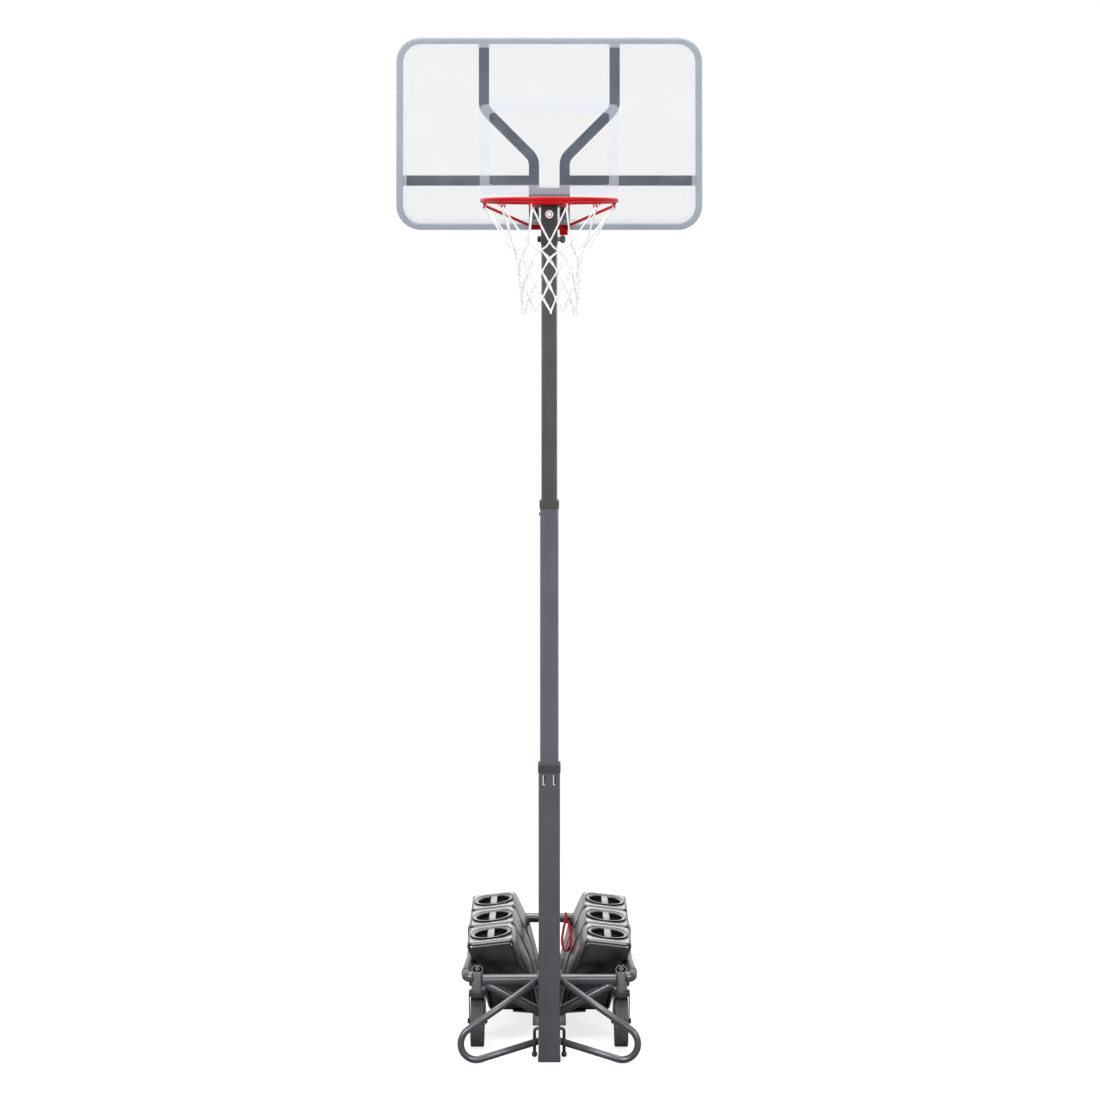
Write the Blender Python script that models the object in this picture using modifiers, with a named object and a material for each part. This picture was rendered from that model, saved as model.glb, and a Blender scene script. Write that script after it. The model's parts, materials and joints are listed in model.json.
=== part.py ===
"""A portable basketball hoop, as separate parts in metres. +Z is up and the court side faces -Y."""

import bpy
import bmesh
from math import atan2, cos, pi, radians, sin
from mathutils import Matrix, Vector

PARTS_NAME = "portable_basketball_hoop"

# The fold hinge runs along X through the front cross tube.
HINGE = (0.0, 0.120, 0.248)

# Square pole tubes: half width, wall, bottom and top.
LOWER = (0.0385, 0.0020, 0.0063, 1.0197)
MIDDLE = (0.0330, 0.0020, 0.8500, 1.9567)
UPPER = (0.0285, 0.0020, 1.7700, 3.0350)

# Base.
SLEEVE_X = 0.260
CASTER_TRAIL = 0.035
WHEEL_RADIUS = 0.090
RAIL_X = 0.289
RAIL_Z = 0.249
RAIL_RADIUS = 0.019
REAR_BAR = (1.0318, 0.243, 0.0185)
REAR_WHEEL_Y = 0.950
TANK_START = 0.2525
TANK_PITCH = 0.2525
TANK_SECTION = (
    (0.3065, 0.3385),
    (0.1345, 0.3590),
    (0.0735, 0.2300),
    (0.0400, 0.0978),
    (0.2200, 0.0978),
    (0.2660, 0.2600),
    (0.2830, 0.2750),
    (0.3075, 0.3220),
)
CAP_X = 0.2165
CAP_Z = 0.3492
CAP_TILT = atan2(0.0205, 0.1720)
YOKE_BOLT = (-0.010, 0.248)

# Board, ring and net.
PANEL_FRONT = 0.0600
PANEL_BACK = 0.0640
BOARD_HALF = 0.555
BOARD_LOW = 2.955
BOARD_HIGH = 3.655
BOARD_CORNER = 0.090
BAR_HALF = 0.0185
BAR_DEPTH = 0.020
BOLT_X = 0.0555
BOLT_Z = 3.025
RING_CENTRE = (0.0, -0.315, 3.051)
RING_RADIUS = 0.233
ROD_RADIUS = 0.008
CLAMP_Z = 2.921

COLOURS = {
    "grey_steel": ((0.16, 0.165, 0.175), 0.35, 0.6),
    "black_steel": ((0.03, 0.03, 0.032), 0.45, 0.3),
    "black_plastic": ((0.035, 0.035, 0.037), 0.5, 0.0),
    "rubber": ((0.05, 0.05, 0.052), 0.7, 0.0),
    "red_steel": ((0.62, 0.02, 0.025), 0.35, 0.2),
    "clear": ((0.92, 0.94, 0.95), 0.08, 0.0),
    "white_print": ((0.85, 0.85, 0.87), 0.5, 0.0),
    "cord": ((0.85, 0.85, 0.84), 0.8, 0.0),
    "strap": ((0.45, 0.015, 0.03), 0.8, 0.0),
    "rim_grey": ((0.11, 0.125, 0.155), 0.4, 0.5),
}


def clear_scene():
    for obj in list(bpy.data.objects):
        bpy.data.objects.remove(obj, do_unlink=True)


def parts_collection():
    found = bpy.data.collections.new(PARTS_NAME)
    bpy.context.scene.collection.children.link(found)
    return found


def look(part_name, kind):
    """A material of the part's own."""
    colour, roughness, metallic = COLOURS[kind]
    made = bpy.data.materials.new(part_name)
    made.use_nodes = True
    shader = made.node_tree.nodes["Principled BSDF"]
    shader.inputs["Base Color"].default_value = (*colour, 1.0)
    shader.inputs["Roughness"].default_value = roughness
    shader.inputs["Metallic"].default_value = metallic
    if kind == "clear":
        shader.inputs["Alpha"].default_value = 0.25
    made.diffuse_color = (*colour, 1.0)
    return made


def cleaned(mesh):
    """The mesh with its seams welded and its faces turned outward."""
    bm = bmesh.new()
    bm.from_mesh(mesh)
    bmesh.ops.remove_doubles(bm, verts=bm.verts, dist=2e-6)
    bmesh.ops.recalc_face_normals(bm, faces=bm.faces)
    bm.to_mesh(mesh)
    bm.free()
    return mesh


def evaluated(obj):
    """The mesh an object makes once its modifiers or its bevel are worked out. The object is removed."""
    bpy.context.view_layer.update()
    graph = bpy.context.evaluated_depsgraph_get()
    mesh = bpy.data.meshes.new_from_object(obj.evaluated_get(graph))
    bpy.data.objects.remove(obj, do_unlink=True)
    return cleaned(mesh)


def helper(data):
    obj = bpy.data.objects.new("helper", data)
    bpy.context.scene.collection.objects.link(obj)
    return obj


def combined(first, second, operation):
    """Two meshes joined or cut by an exact Boolean."""
    base = helper(first)
    tool = helper(second)
    step = base.modifiers.new("boolean", "BOOLEAN")
    step.operation = operation
    step.solver = "EXACT"
    step.object = tool
    made = evaluated(base)
    bpy.data.objects.remove(tool, do_unlink=True)
    return made


def cut(mesh, cutters):
    for cutter in cutters:
        mesh = combined(mesh, cutter, "DIFFERENCE")
    return mesh


def joined(mesh, others):
    for other in others:
        mesh = combined(mesh, other, "UNION")
    return mesh


def gathered(meshes):
    """Several solids in one mesh, used as one Boolean tool."""
    bm = bmesh.new()
    for mesh in meshes:
        bm.from_mesh(mesh)
    made = bpy.data.meshes.new("gathered")
    bm.to_mesh(made)
    bm.free()
    return made


def moved(mesh, matrix):
    copy = mesh.copy()
    copy.transform(matrix)
    return cleaned(copy)


def mirrored(mesh):
    return moved(mesh, Matrix.Scale(-1, 4, (1, 0, 0)))


def shifted(mesh, x, y, z):
    return moved(mesh, Matrix.Translation((x, y, z)))


def softened(mesh, width, segments=2):
    obj = helper(mesh)
    step = obj.modifiers.new("bevel", "BEVEL")
    step.width = width
    step.segments = segments
    step.limit_method = "ANGLE"
    step.angle_limit = radians(25)
    step.use_clamp_overlap = True
    return evaluated(obj)


def box(low, high):
    """A box between two corners."""
    centre = [(a + b) / 2 for a, b in zip(low, high)]
    size = [b - a for a, b in zip(low, high)]
    bm = bmesh.new()
    place = Matrix.Translation(centre) @ Matrix.Diagonal((*size, 1.0))
    bmesh.ops.create_cube(bm, size=1.0, matrix=place)
    made = bpy.data.meshes.new("box")
    bm.to_mesh(made)
    bm.free()
    return made


def aimed(start, end):
    """The matrix that puts local Z along start to end, with its origin halfway."""
    start, end = Vector(start), Vector(end)
    turn = (end - start).to_track_quat("Z", "Y").to_matrix().to_4x4()
    return Matrix.Translation((start + end) / 2) @ turn


def rod(start, end, radius, sides=12):
    """A round bar between two points."""
    bm = bmesh.new()
    length = (Vector(end) - Vector(start)).length
    bmesh.ops.create_cone(
        bm,
        cap_ends=True,
        segments=sides,
        radius1=radius,
        radius2=radius,
        depth=length,
        matrix=aimed(start, end),
    )
    made = bpy.data.meshes.new("rod")
    bm.to_mesh(made)
    bm.free()
    return made


def ball(centre, radius):
    bm = bmesh.new()
    place = Matrix.Translation(centre)
    bmesh.ops.create_uvsphere(bm, u_segments=10, v_segments=7, radius=radius, matrix=place)
    made = bpy.data.meshes.new("ball")
    bm.to_mesh(made)
    bm.free()
    return made


def turned(profile, steps, start=(0, 0, 0), end=(0, 0, 1), closed=True):
    """A profile of (radius, height) points spun about Z, then stood at start and aimed at end."""
    bm = bmesh.new()
    points = [bm.verts.new((radius, 0.0, height)) for radius, height in profile]
    pairs = list(zip(points, points[1:]))
    if closed:
        pairs.append((points[-1], points[0]))
    for pair in pairs:
        bm.edges.new(pair)
    mesh = bpy.data.meshes.new("turned")
    bm.to_mesh(mesh)
    bm.free()
    obj = helper(mesh)
    step = obj.modifiers.new("spin", "SCREW")
    step.axis = "Z"
    step.angle = 2 * pi
    step.steps = steps
    step.render_steps = steps
    step.use_merge_vertices = True
    step.merge_threshold = 0.00001
    made = evaluated(obj)
    turn = (Vector(end) - Vector(start)).to_track_quat("Z", "Y").to_matrix().to_4x4()
    return moved(made, Matrix.Translation(start) @ turn)


def round_tube(start, end, radius, wall, sides=14):
    length = (Vector(end) - Vector(start)).length
    inner = radius - wall
    profile = ((radius, length), (radius, 0.0), (inner, 0.0), (inner, length))
    return turned(profile, sides, start, end)


def arc(centre, radius, first, last, steps):
    """Points along an arc, with its angles in degrees."""
    points = []
    for step in range(steps + 1):
        angle = radians(first + (last - first) * step / steps)
        points.append((centre[0] + radius * cos(angle), centre[1] + radius * sin(angle)))
    return points


def rounded_outline(half_u, low_v, high_v, corner, steps):
    """A rectangle with round corners, in two dimensions."""
    u = half_u - corner
    points = arc((u, high_v - corner), corner, 0, 90, steps)
    points += arc((-u, high_v - corner), corner, 90, 180, steps)
    points += arc((-u, low_v + corner), corner, 180, 270, steps)
    points += arc((u, low_v + corner), corner, 270, 360, steps)
    return points


def circle_outline(centre, radius, sides):
    return arc(centre, radius, 0, 360 - 360 / sides, sides - 1)


PLANES = {
    "XY": Matrix(((1, 0, 0, 0), (0, 1, 0, 0), (0, 0, 1, 0), (0, 0, 0, 1))),
    "XZ": Matrix(((1, 0, 0, 0), (0, 0, 1, 0), (0, 1, 0, 0), (0, 0, 0, 1))),
    "YZ": Matrix(((0, 0, 1, 0), (1, 0, 0, 0), (0, 1, 0, 0), (0, 0, 0, 1))),
}


def plate(loops, plane, low, high):
    """Flat outlines, the later ones holes, given thickness from low to high across their plane."""
    curve = bpy.data.curves.new("outline", "CURVE")
    curve.dimensions = "2D"
    curve.fill_mode = "BOTH"
    curve.extrude = (high - low) / 2
    for loop in loops:
        spline = curve.splines.new("POLY")
        spline.points.add(len(loop) - 1)
        for point, (u, v) in zip(spline.points, loop):
            point.co = (u, v, 0.0, 1.0)
        spline.use_cyclic_u = True
    mesh = evaluated(helper(curve))
    place = PLANES[plane] @ Matrix.Translation((0, 0, (low + high) / 2))
    return moved(mesh, place)


def square_tube(half, wall, low, high, corner=0.007):
    outer = rounded_outline(half, -half, half, corner, 2)
    inside = half - wall
    inner = rounded_outline(inside, -inside, inside, max(corner - wall, 0.002), 2)
    return plate((outer, inner), "XY", low, high)


def rounded_path(points, radius, steps, closed=False):
    """A path with its inner corners turned on true arcs."""
    points = [Vector(point) for point in points]
    count = len(points)
    path = []
    for index, point in enumerate(points):
        if not closed and index in (0, count - 1):
            path.append(point)
            continue
        before = (points[index - 1] - point).normalized()
        after = (points[(index + 1) % count] - point).normalized()
        half = before.angle(after) / 2
        centre = point + (before + after).normalized() * (radius / sin(half))
        reach = radius * cos(half) / sin(half)
        start = (point + before * reach - centre).normalized()
        end = (point + after * reach - centre).normalized()
        path += [centre + start.slerp(end, step / steps) * radius for step in range(steps + 1)]
    return path


def wire(path, radius, resolution=2, closed=False):
    """A round wire or tube that follows a path."""
    curve = bpy.data.curves.new("wire", "CURVE")
    curve.dimensions = "3D"
    curve.bevel_depth = radius
    curve.bevel_resolution = resolution
    curve.use_fill_caps = True
    spline = curve.splines.new("POLY")
    spline.points.add(len(path) - 1)
    for point, place in zip(spline.points, path):
        point.co = (*place, 1.0)
    spline.use_cyclic_u = closed
    return evaluated(helper(curve))


def put(name, mesh, kind, origin=(0.0, 0.0, 0.0)):
    """Adds a finished part with its origin where its joint is."""
    mesh = moved(mesh, Matrix.Translation(-Vector(origin)))
    mesh.name = name
    obj = bpy.data.objects.new(name, mesh)
    obj.location = origin
    mesh.materials.clear()
    mesh.materials.append(look(name, kind))
    bpy.data.collections[PARTS_NAME].objects.link(obj)
    return obj


# Base frame


def cross_tube():
    _, y, z = HINGE
    put("front_cross_tube", round_tube((-0.2422, y, z), (0.2422, y, z), 0.020, 0.002, 16), "grey_steel")


def side_rails():
    """Rails that turn in to the caster sleeves at the front and close up a little behind them."""
    y = HINGE[1]
    front = rounded_path(((0.2785, y, 0.2580), (0.2985, y, 0.2580), (0.2985, 0.160, 0.2580)), 0.0195, 4)
    rest = rounded_path(
        ((0.2985, 0.160, 0.2580), (0.2985, 0.205, 0.2580), (RAIL_X, 0.400, RAIL_Z), (RAIL_X, 1.052, RAIL_Z)),
        0.250,
        2,
    )
    rail = wire(front + rest[1:], RAIL_RADIUS, 2)
    put("side_rail_right", rail, "grey_steel")
    put("side_rail_left", mirrored(rail), "grey_steel")


def rear_bar():
    y, z, radius = REAR_BAR
    put("rear_bar", round_tube((-0.2692, y, z), (0.2692, y, z), radius, 0.0015, 12), "grey_steel")


def base_braces():
    """Struts from the centre post up to the underside of the cross tube, cut to fit both."""
    _, y, z = HINGE
    brace = rod((0.0100, y, 0.1206), (0.2270, y, 0.2318), 0.017, 14)
    post = box((-0.0204, y - 0.05, 0.0), (0.0204, y + 0.05, 0.30))
    brace = cut(brace, [post, rod((-0.01, y, z), (0.30, y, z), 0.0203, 32)])
    put("base_brace_right", brace, "grey_steel")
    put("base_brace_left", mirrored(brace), "grey_steel")


def caster_sleeves():
    """Sockets for the front casters, cut on a slant at the top."""
    y = HINGE[1]
    profile = (
        (0.0175, 0.0955),
        (0.0175, 0.0),
        (0.0103, 0.0),
        (0.0103, 0.0355),
        (0.0135, 0.0355),
        (0.0135, 0.0955),
    )
    sleeve = turned(profile, 16, (SLEEVE_X, y, 0.2095), (SLEEVE_X, y, 1.0))
    slant = box((-0.05, -0.05, 0.0), (0.05, 0.05, 0.05))
    turn = Matrix.Translation((SLEEVE_X, y, 0.288)) @ Matrix.Rotation(radians(38), 4, "X")
    sleeve = cut(sleeve, [moved(slant, turn)])
    put("caster_sleeve_right", sleeve, "grey_steel")
    put("caster_sleeve_left", mirrored(sleeve), "grey_steel")


def centre_post():
    outer = rounded_outline(0.020, 0.100, 0.140, 0.004, 2)
    inner = rounded_outline(0.018, 0.102, 0.138, 0.002, 2)
    put("centre_post", plate((outer, inner), "XY", 0.0968, 0.2277), "grey_steel")


def tank_tray():
    """A sheet with a front tongue, and two straps that stand up to the rear bar."""
    outline = (
        (0.060, 0.085),
        (0.060, 0.240),
        (0.134, 0.258),
        (0.134, 1.0128),
        (-0.134, 1.0128),
        (-0.134, 0.258),
        (-0.060, 0.240),
        (-0.060, 0.085),
    )
    sheet = plate((outline,), "XY", 0.0935, 0.0965)
    straps = [box((x, 1.0102, 0.0950), (x + 0.030, 1.0128, 0.2360)) for x in (-0.130, 0.100)]
    put("tank_tray", joined(sheet, straps), "black_steel")


def tank(side, number):
    """One ballast tank with a round pocket in its top for the lid."""
    start = TANK_START + TANK_PITCH * number
    outline = [(side * x, z) for x, z in TANK_SECTION]
    body = plate((outline,), "XZ", start, start + TANK_PITCH - 0.0010)
    body = softened(body, 0.0070)
    return cut(body, [moved(rod((0, 0, -0.0220), (0, 0, 0.030), 0.0758, 24), cap_place(side, number))])


def cap_place(side, number):
    y = TANK_START + TANK_PITCH * (number + 0.5)
    tilt = Matrix.Rotation(side * CAP_TILT, 4, "Y")
    return Matrix.Translation((side * CAP_X, y, CAP_Z)) @ tilt


def lid():
    """A dished lid with a grip bar across the dish."""
    profile = (
        (0.0, -0.0215),
        (0.0750, -0.0215),
        (0.0750, 0.0020),
        (0.0735, 0.0032),
        (0.0615, 0.0032),
        (0.0600, -0.0140),
        (0.0, -0.0140),
    )
    dish = turned(profile, 24, closed=False)
    return joined(dish, [box((-0.0135, -0.0630, -0.0145), (0.0135, 0.0630, 0.0015))])


def tanks_and_lids():
    shape = lid()
    places = ("front", "middle", "rear")
    for side, side_name in ((-1, "left"), (1, "right")):
        for number, place_name in enumerate(places):
            put(f"tank_{side_name}_{place_name}", tank(side, number), "black_plastic")
            place = cap_place(side, number)
            name = f"filler_lid_{side_name}_{place_name}"
            put(name, moved(shape, place), "black_plastic", place.translation)


def wheel(name, centre):
    """A solid wheel with a dished face and a rounded tread."""
    half = (
        (0.0068, 0.0250),
        (0.0200, 0.0250),
        (0.0225, 0.0130),
        (0.0620, 0.0130),
        (0.0660, 0.0235),
        (0.0820, 0.0235),
        (WHEEL_RADIUS, 0.0130),
    )
    profile = list(half) + [(radius, -width) for radius, width in reversed(half)]
    x, y, z = centre
    put(name, turned(profile, 20, centre, (x + 1.0, y, z)), "rubber", centre)


def leg_outline(top, bottom, boss):
    """A fork leg seen from the side: straight at the top and round at the axle."""
    first, last, height = top
    y, z = bottom
    return [(first, height), (last, height)] + arc((y, z), boss, 20, -200, 8)


def fork(x, crown, top, axle):
    """Two legs, a crown and the axle between them. Heads close the axle outside the legs."""
    outline = leg_outline(top, axle, 0.0140)
    y, z = axle
    legs = [plate((outline,), "YZ", x - 0.0305, x - 0.0275), plate((outline,), "YZ", x + 0.0275, x + 0.0305)]
    pin = rod((x - 0.0335, y, z), (x + 0.0335, y, z), 0.0062)
    heads = [rod((x + s * 0.0303, y, z), (x + s * 0.0360, y, z), 0.0095, 6) for s in (-1, 1)]
    return joined(crown, legs + [pin] + heads)


def front_casters():
    y = HINGE[1]
    for side, name in ((-1, "left"), (1, "right")):
        x = side * SLEEVE_X
        crown = rod((x, y, 0.1915), (x, y, 0.2075), 0.0310, 16)
        king_pin = rod((x, y, 0.2000), (x, y, 0.2640), 0.0096, 12)
        nut = rod((x, y, 0.2470), (x, y, 0.2560), 0.0122, 6)
        axle = (y + CASTER_TRAIL, WHEEL_RADIUS + 0.0010)
        made = fork(x, crown, (y - 0.020, y + 0.022, 0.2000), axle)
        put(f"caster_fork_{name}", joined(made, [king_pin, nut]), "black_steel", (x, y, 0.2))
        wheel(f"front_wheel_{name}", (x, axle[0], axle[1]))


def rear_wheels():
    for side, name in ((-1, "left"), (1, "right")):
        x = side * RAIL_X
        y = REAR_WHEEL_Y
        crown = box((x - 0.0290, y - 0.036, 0.2225), (x + 0.0290, y + 0.036, 0.2285))
        made = fork(x, crown, (y - 0.034, y + 0.034, 0.2265), (y, WHEEL_RADIUS))
        put(f"rear_fork_{name}", made, "black_steel")
        wheel(f"rear_wheel_{name}", (x, y, WHEEL_RADIUS))


def tie_strap():
    """A strap looped round the rear bar that rests forward in the gap between the tanks."""
    y, z, radius = REAR_BAR
    r = radius + 0.0046
    path = [
        (0.066, y + r, z),
        (0.066, y + r * 0.72, z + r * 0.72),
        (0.066, y, z + r),
        (0.066, y - r * 0.75, z + r * 0.80),
        (0.066, y - 0.070, z + 0.002),
        (0.060, 0.860, 0.2240),
        (0.053, 0.740, 0.2030),
        (0.055, 0.690, 0.2060),
        (0.068, 0.676, 0.2380),
        (0.075, 0.700, 0.2540),
        (0.078, 0.800, 0.2630),
        (0.072, 0.920, 0.2420),
        (0.066, y - r * 0.95, z - r * 0.80),
        (0.066, y, z - r),
        (0.066, y + r * 0.75, z - r * 0.75),
    ]
    put("tie_strap", wire(path, 0.0030, 1, closed=True), "strap")


# Folding pole section


def lower_pole():
    half, wall, low, high = LOWER
    tube = square_tube(half, wall, low, high)
    slots = [box((x - 0.005, -0.05, 0.979), (x + 0.005, -0.03, 1.014)) for x in (-0.0185, 0.0185)]
    y, z = YOKE_BOLT
    hole = rod((-0.06, y, z), (0.06, y, z), 0.0054)
    put("lower_pole", cut(tube, slots + [hole]), "grey_steel", HINGE)


def foot_cap():
    put("foot_cap", softened(box((-0.040, -0.040, 0.0), (0.040, 0.040, 0.006)), 0.0015, 1), "black_plastic", HINGE)


def hinge_yoke():
    """Two ears on the pole's sides that turn on the cross tube, with a web behind the pole."""
    _, y, z = HINGE
    top = [(-0.030, z + 0.0115), (0.022, z + 0.0115), (0.050, z + 0.035)]
    outline = top + arc((y, z), 0.035, 90, -90, 8) + [(-0.030, z - 0.035)]
    holes = [circle_outline((y, z), 0.0210, 24), circle_outline(YOKE_BOLT, 0.0054, 12)]
    left = plate([outline] + holes, "YZ", -0.0428, -0.0388)
    right = plate([outline] + holes, "YZ", 0.0388, 0.0428)
    web = box((-0.0410, 0.0388, z - 0.034), (0.0410, 0.0428, z + 0.024))
    put("hinge_yoke", joined(left, [web, right]), "black_steel", HINGE)


def yoke_bolt():
    """The cross bolt that holds the pole between the ears, with a head and a nut."""
    y, z = YOKE_BOLT
    shaft = rod((-0.0500, y, z), (0.0500, y, z), 0.0050, 10)
    heads = [rod((s * 0.0431, y, z), (s * 0.0490, y, z), 0.0095, 6) for s in (-1, 1)]
    put("yoke_bolt", joined(shaft, heads), "black_steel", HINGE)


def stabiliser_loops():
    """Tubes bent once on a wide arc. They lean forward from the pole's sides and reach the floor."""
    path = rounded_path(((0.020, 0.0, 0.2920), (0.5847, -0.111, -0.0717), (0.020, 0.0, 0.0695)), 0.0585, 10)
    loop = wire(path, 0.0122, 2)
    loop = cut(loop, [box((-0.05, -0.06, -0.1), (0.0388, 0.06, 0.5))])
    put("loop_right", loop, "grey_steel", HINGE)
    put("loop_left", mirrored(loop), "grey_steel", HINGE)


def heel_stops():
    """Bent rods behind the loops with a ball at the floor."""
    path = rounded_path(((0.030, 0.024, 0.102), (0.0528, 0.024, 0.102), (0.0528, 0.024, 0.014)), 0.010, 3)
    stop = joined(wire(path, 0.0058, 2), [ball((0.0528, 0.024, 0.0110), 0.0105)])
    stop = cut(stop, [box((-0.05, -0.05, 0.05), (0.0388, 0.06, 0.2))])
    put("heel_stop_right", stop, "black_plastic", HINGE)
    put("heel_stop_left", mirrored(stop), "black_plastic", HINGE)


def collar(name, tube_half, tube_inner, flange_half, top, origin):
    """A collar on the end of one tube that guides the next one."""
    low, high = top + 0.0003, top + 0.0293
    flange = square_tube(flange_half, flange_half - tube_half - 0.0006, low, high, 0.008)
    flange = softened(flange, 0.0015, 1)
    outer = tube_inner - 0.0004
    sleeve = square_tube(outer, outer - tube_half - 0.0007, low - 0.062, low + 0.004, 0.005)
    put(name, joined(flange, [sleeve]), "black_plastic", origin)


# Sliding sections


def middle_pole():
    half, wall, low, high = MIDDLE
    tube = square_tube(half, wall, low, high, 0.006)
    hole = rod((-0.05, 0, BUTTON_Z), (-0.01, 0, BUTTON_Z), 0.0066)
    put("mid_pole", cut(tube, [hole]), "grey_steel")


BUTTON_Z = 1.937


def upper_collar():
    high = MIDDLE[3]
    collar("upper_collar", UPPER[0], MIDDLE[0] - MIDDLE[1], 0.0352, high, (0, 0, 0))
    obj = bpy.data.objects["upper_collar"]
    hole = rod((-0.05, 0, BUTTON_Z), (-0.01, 0, BUTTON_Z), 0.0066)
    obj.data = cut(obj.data, [hole])


def lock_button():
    profile = ((0.0, 0.0068), (0.0035, 0.0062), (0.0058, 0.0040), (0.0058, 0.0), (0.0, 0.0))
    place = (-0.0309, 0, BUTTON_Z)
    put("lock_button", turned(profile, 12, place, (-1, 0, BUTTON_Z), closed=False), "black_steel", place)


def upper_pole():
    half, wall, low, high = UPPER
    tube = square_tube(half, wall, low, high, 0.006)
    put("upper_pole", cut(tube, [rod((-0.05, 0, CLAMP_Z), (0.05, 0, CLAMP_Z), 0.0048)]), "grey_steel")


def head_yoke():
    """The black head over the top of the pole. Its cheeks run back to the ring bracket."""
    shell = softened(box((-0.0303, -0.0303, 2.898), (0.0303, 0.0495, 3.042)), 0.0030)
    room = box((-0.0288, -0.0288, 2.880), (0.0288, 0.0700, 3.0365))
    slot = box((-0.009, -0.035, 2.979), (0.009, -0.0285, 2.987))
    hole = rod((-0.05, 0, CLAMP_Z), (0.05, 0, CLAMP_Z), 0.0048)
    put("head_yoke", cut(shell, [room, slot, hole]), "black_steel")


def badge():
    profile = ((0.0, 0.0022), (0.0130, 0.0022), (0.0148, 0.0012), (0.0148, 0.0), (0.0, 0.0))
    put("badge", turned(profile, 20, (0, -0.0306, 3.010), (0, -1, 3.010), closed=False), "white_print")


def clamp():
    """A cross bolt turned by a knob on one side, with a nut on the other."""
    nut = plate((circle_outline((0, CLAMP_Z), 0.0125, 6), circle_outline((0, CLAMP_Z), 0.0049, 12)), "YZ", -0.0425, -0.0306)
    put("clamp_nut", nut, "black_steel")
    profile = (
        (0.0, -0.0015),
        (0.0120, -0.0015),
        (0.0160, 0.0020),
        (0.0160, 0.0150),
        (0.0090, 0.0180),
        (0.0080, 0.0262),
        (0.0043, 0.0262),
        (0.0043, 0.1010),
        (0.0, 0.1010),
    )
    place = (0.0570, 0, CLAMP_Z)
    put("clamp_knob", turned(profile, 12, place, (-1, 0, CLAMP_Z), closed=False), "black_plastic", place)


# Board, ring and net


def board_panel():
    outline = rounded_outline(BOARD_HALF, BOARD_LOW, BOARD_HIGH, BOARD_CORNER, 6)
    holes = [circle_outline((x, BOLT_Z), 0.0054, 10) for x in (-BOLT_X, BOLT_X)]
    put("board_panel", plate([outline] + holes, "XZ", PANEL_FRONT, PANEL_BACK), "clear")


def board_print():
    """The white border and target square on the front of the panel."""
    outer = rounded_outline(BOARD_HALF - 0.0010, BOARD_LOW + 0.0010, BOARD_HIGH - 0.0010, BOARD_CORNER - 0.001, 6)
    inner = rounded_outline(BOARD_HALF - 0.039, BOARD_LOW + 0.039, BOARD_HIGH - 0.039, BOARD_CORNER - 0.039, 6)
    border = plate((outer, inner), "XZ", PANEL_FRONT - 0.0010, PANEL_FRONT - 0.0003)
    square = rounded_outline(0.2515, 3.083, 3.410, 0.020, 4)
    inside = rounded_outline(0.2165, 3.118, 3.379, 0.010, 3)
    target = plate((square, inside), "XZ", PANEL_FRONT - 0.0010, PANEL_FRONT - 0.0003)
    put("border_print", border, "white_print")
    put("target_print", target, "white_print")


def rim_tube():
    half = BOARD_HALF - 0.0125
    outline = rounded_outline(half, BOARD_LOW + 0.0125, BOARD_HIGH - 0.0125, BOARD_CORNER - 0.0125, 5)
    path = [(x, PANEL_BACK + 0.0003 + 0.0125, z) for x, z in outline]
    put("rim_tube", wire(path, 0.0125, 2, closed=True), "rim_grey")


def bar_outline(path, half, radius):
    """The outline of a flat bar that follows a path with round bends."""
    line = [point.xy for point in rounded_path([(x, z, 0.0) for x, z in path], radius, 4)]
    left, right = [], []
    for index, point in enumerate(line):
        along = (line[min(index + 1, len(line) - 1)] - line[max(index - 1, 0)]).normalized()
        across = Vector((-along.y, along.x)) * half
        left.append(tuple(point + across))
        right.append(tuple(point - across))
    return left + right[::-1]


def board_bars():
    """Hollow uprights that bend in towards the ring, each welded to a cross bar."""
    back = PANEL_BACK + 0.0003
    path = ((0.237, 3.6296), (0.237, 3.395), (0.0555, 3.2135), (0.0555, 2.9804))
    longer = ((0.237, 3.66),) + path[1:3] + ((0.0555, 2.95),)
    upright = plate((bar_outline(path, BAR_HALF, 0.055),), "XZ", back, back + BAR_DEPTH)
    inside = plate((bar_outline(longer, BAR_HALF - 0.002, 0.055),), "XZ", back + 0.002, back + BAR_DEPTH - 0.002)
    low, high = 3.134 - BAR_HALF, 3.134 + BAR_HALF
    cross = box((0.0650, back + 0.0002, low), (0.5296, back + BAR_DEPTH - 0.0002, high))
    room = box((0.0560, back + 0.0022, low + 0.002), (0.56, back + BAR_DEPTH - 0.0022, high - 0.002))
    hole = rod((BOLT_X, 0.04, BOLT_Z), (BOLT_X, 0.12, BOLT_Z), 0.0054, 10)
    bar = cut(joined(upright, [cross]), [inside, room, hole])
    put("board_bar_right", bar, "rim_grey")
    put("board_bar_left", mirrored(bar), "rim_grey")


def joining_plate():
    """A plate behind the panel that closes the gap between the two uprights."""
    back = PANEL_BACK + 0.0006
    put("joining_plate", box((-0.0368, back, 3.0360), (0.0368, back + 0.0190, 3.1080)), "rim_grey")


def panel_bolts():
    back = PANEL_BACK + BAR_DEPTH + 0.0006
    for x, side in ((-BOLT_X, "left"), (BOLT_X, "right")):
        shaft = rod((x, PANEL_FRONT - 0.0020, BOLT_Z), (x, back + 0.0090, BOLT_Z), 0.0050, 10)
        head = rod((x, PANEL_FRONT - 0.0070, BOLT_Z), (x, PANEL_FRONT - 0.0003, BOLT_Z), 0.0090, 6)
        nut = rod((x, back, BOLT_Z), (x, back + 0.0070, BOLT_Z), 0.0090, 6)
        put(f"panel_bolt_{side}", joined(shaft, [head, nut]), "black_steel")


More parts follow.
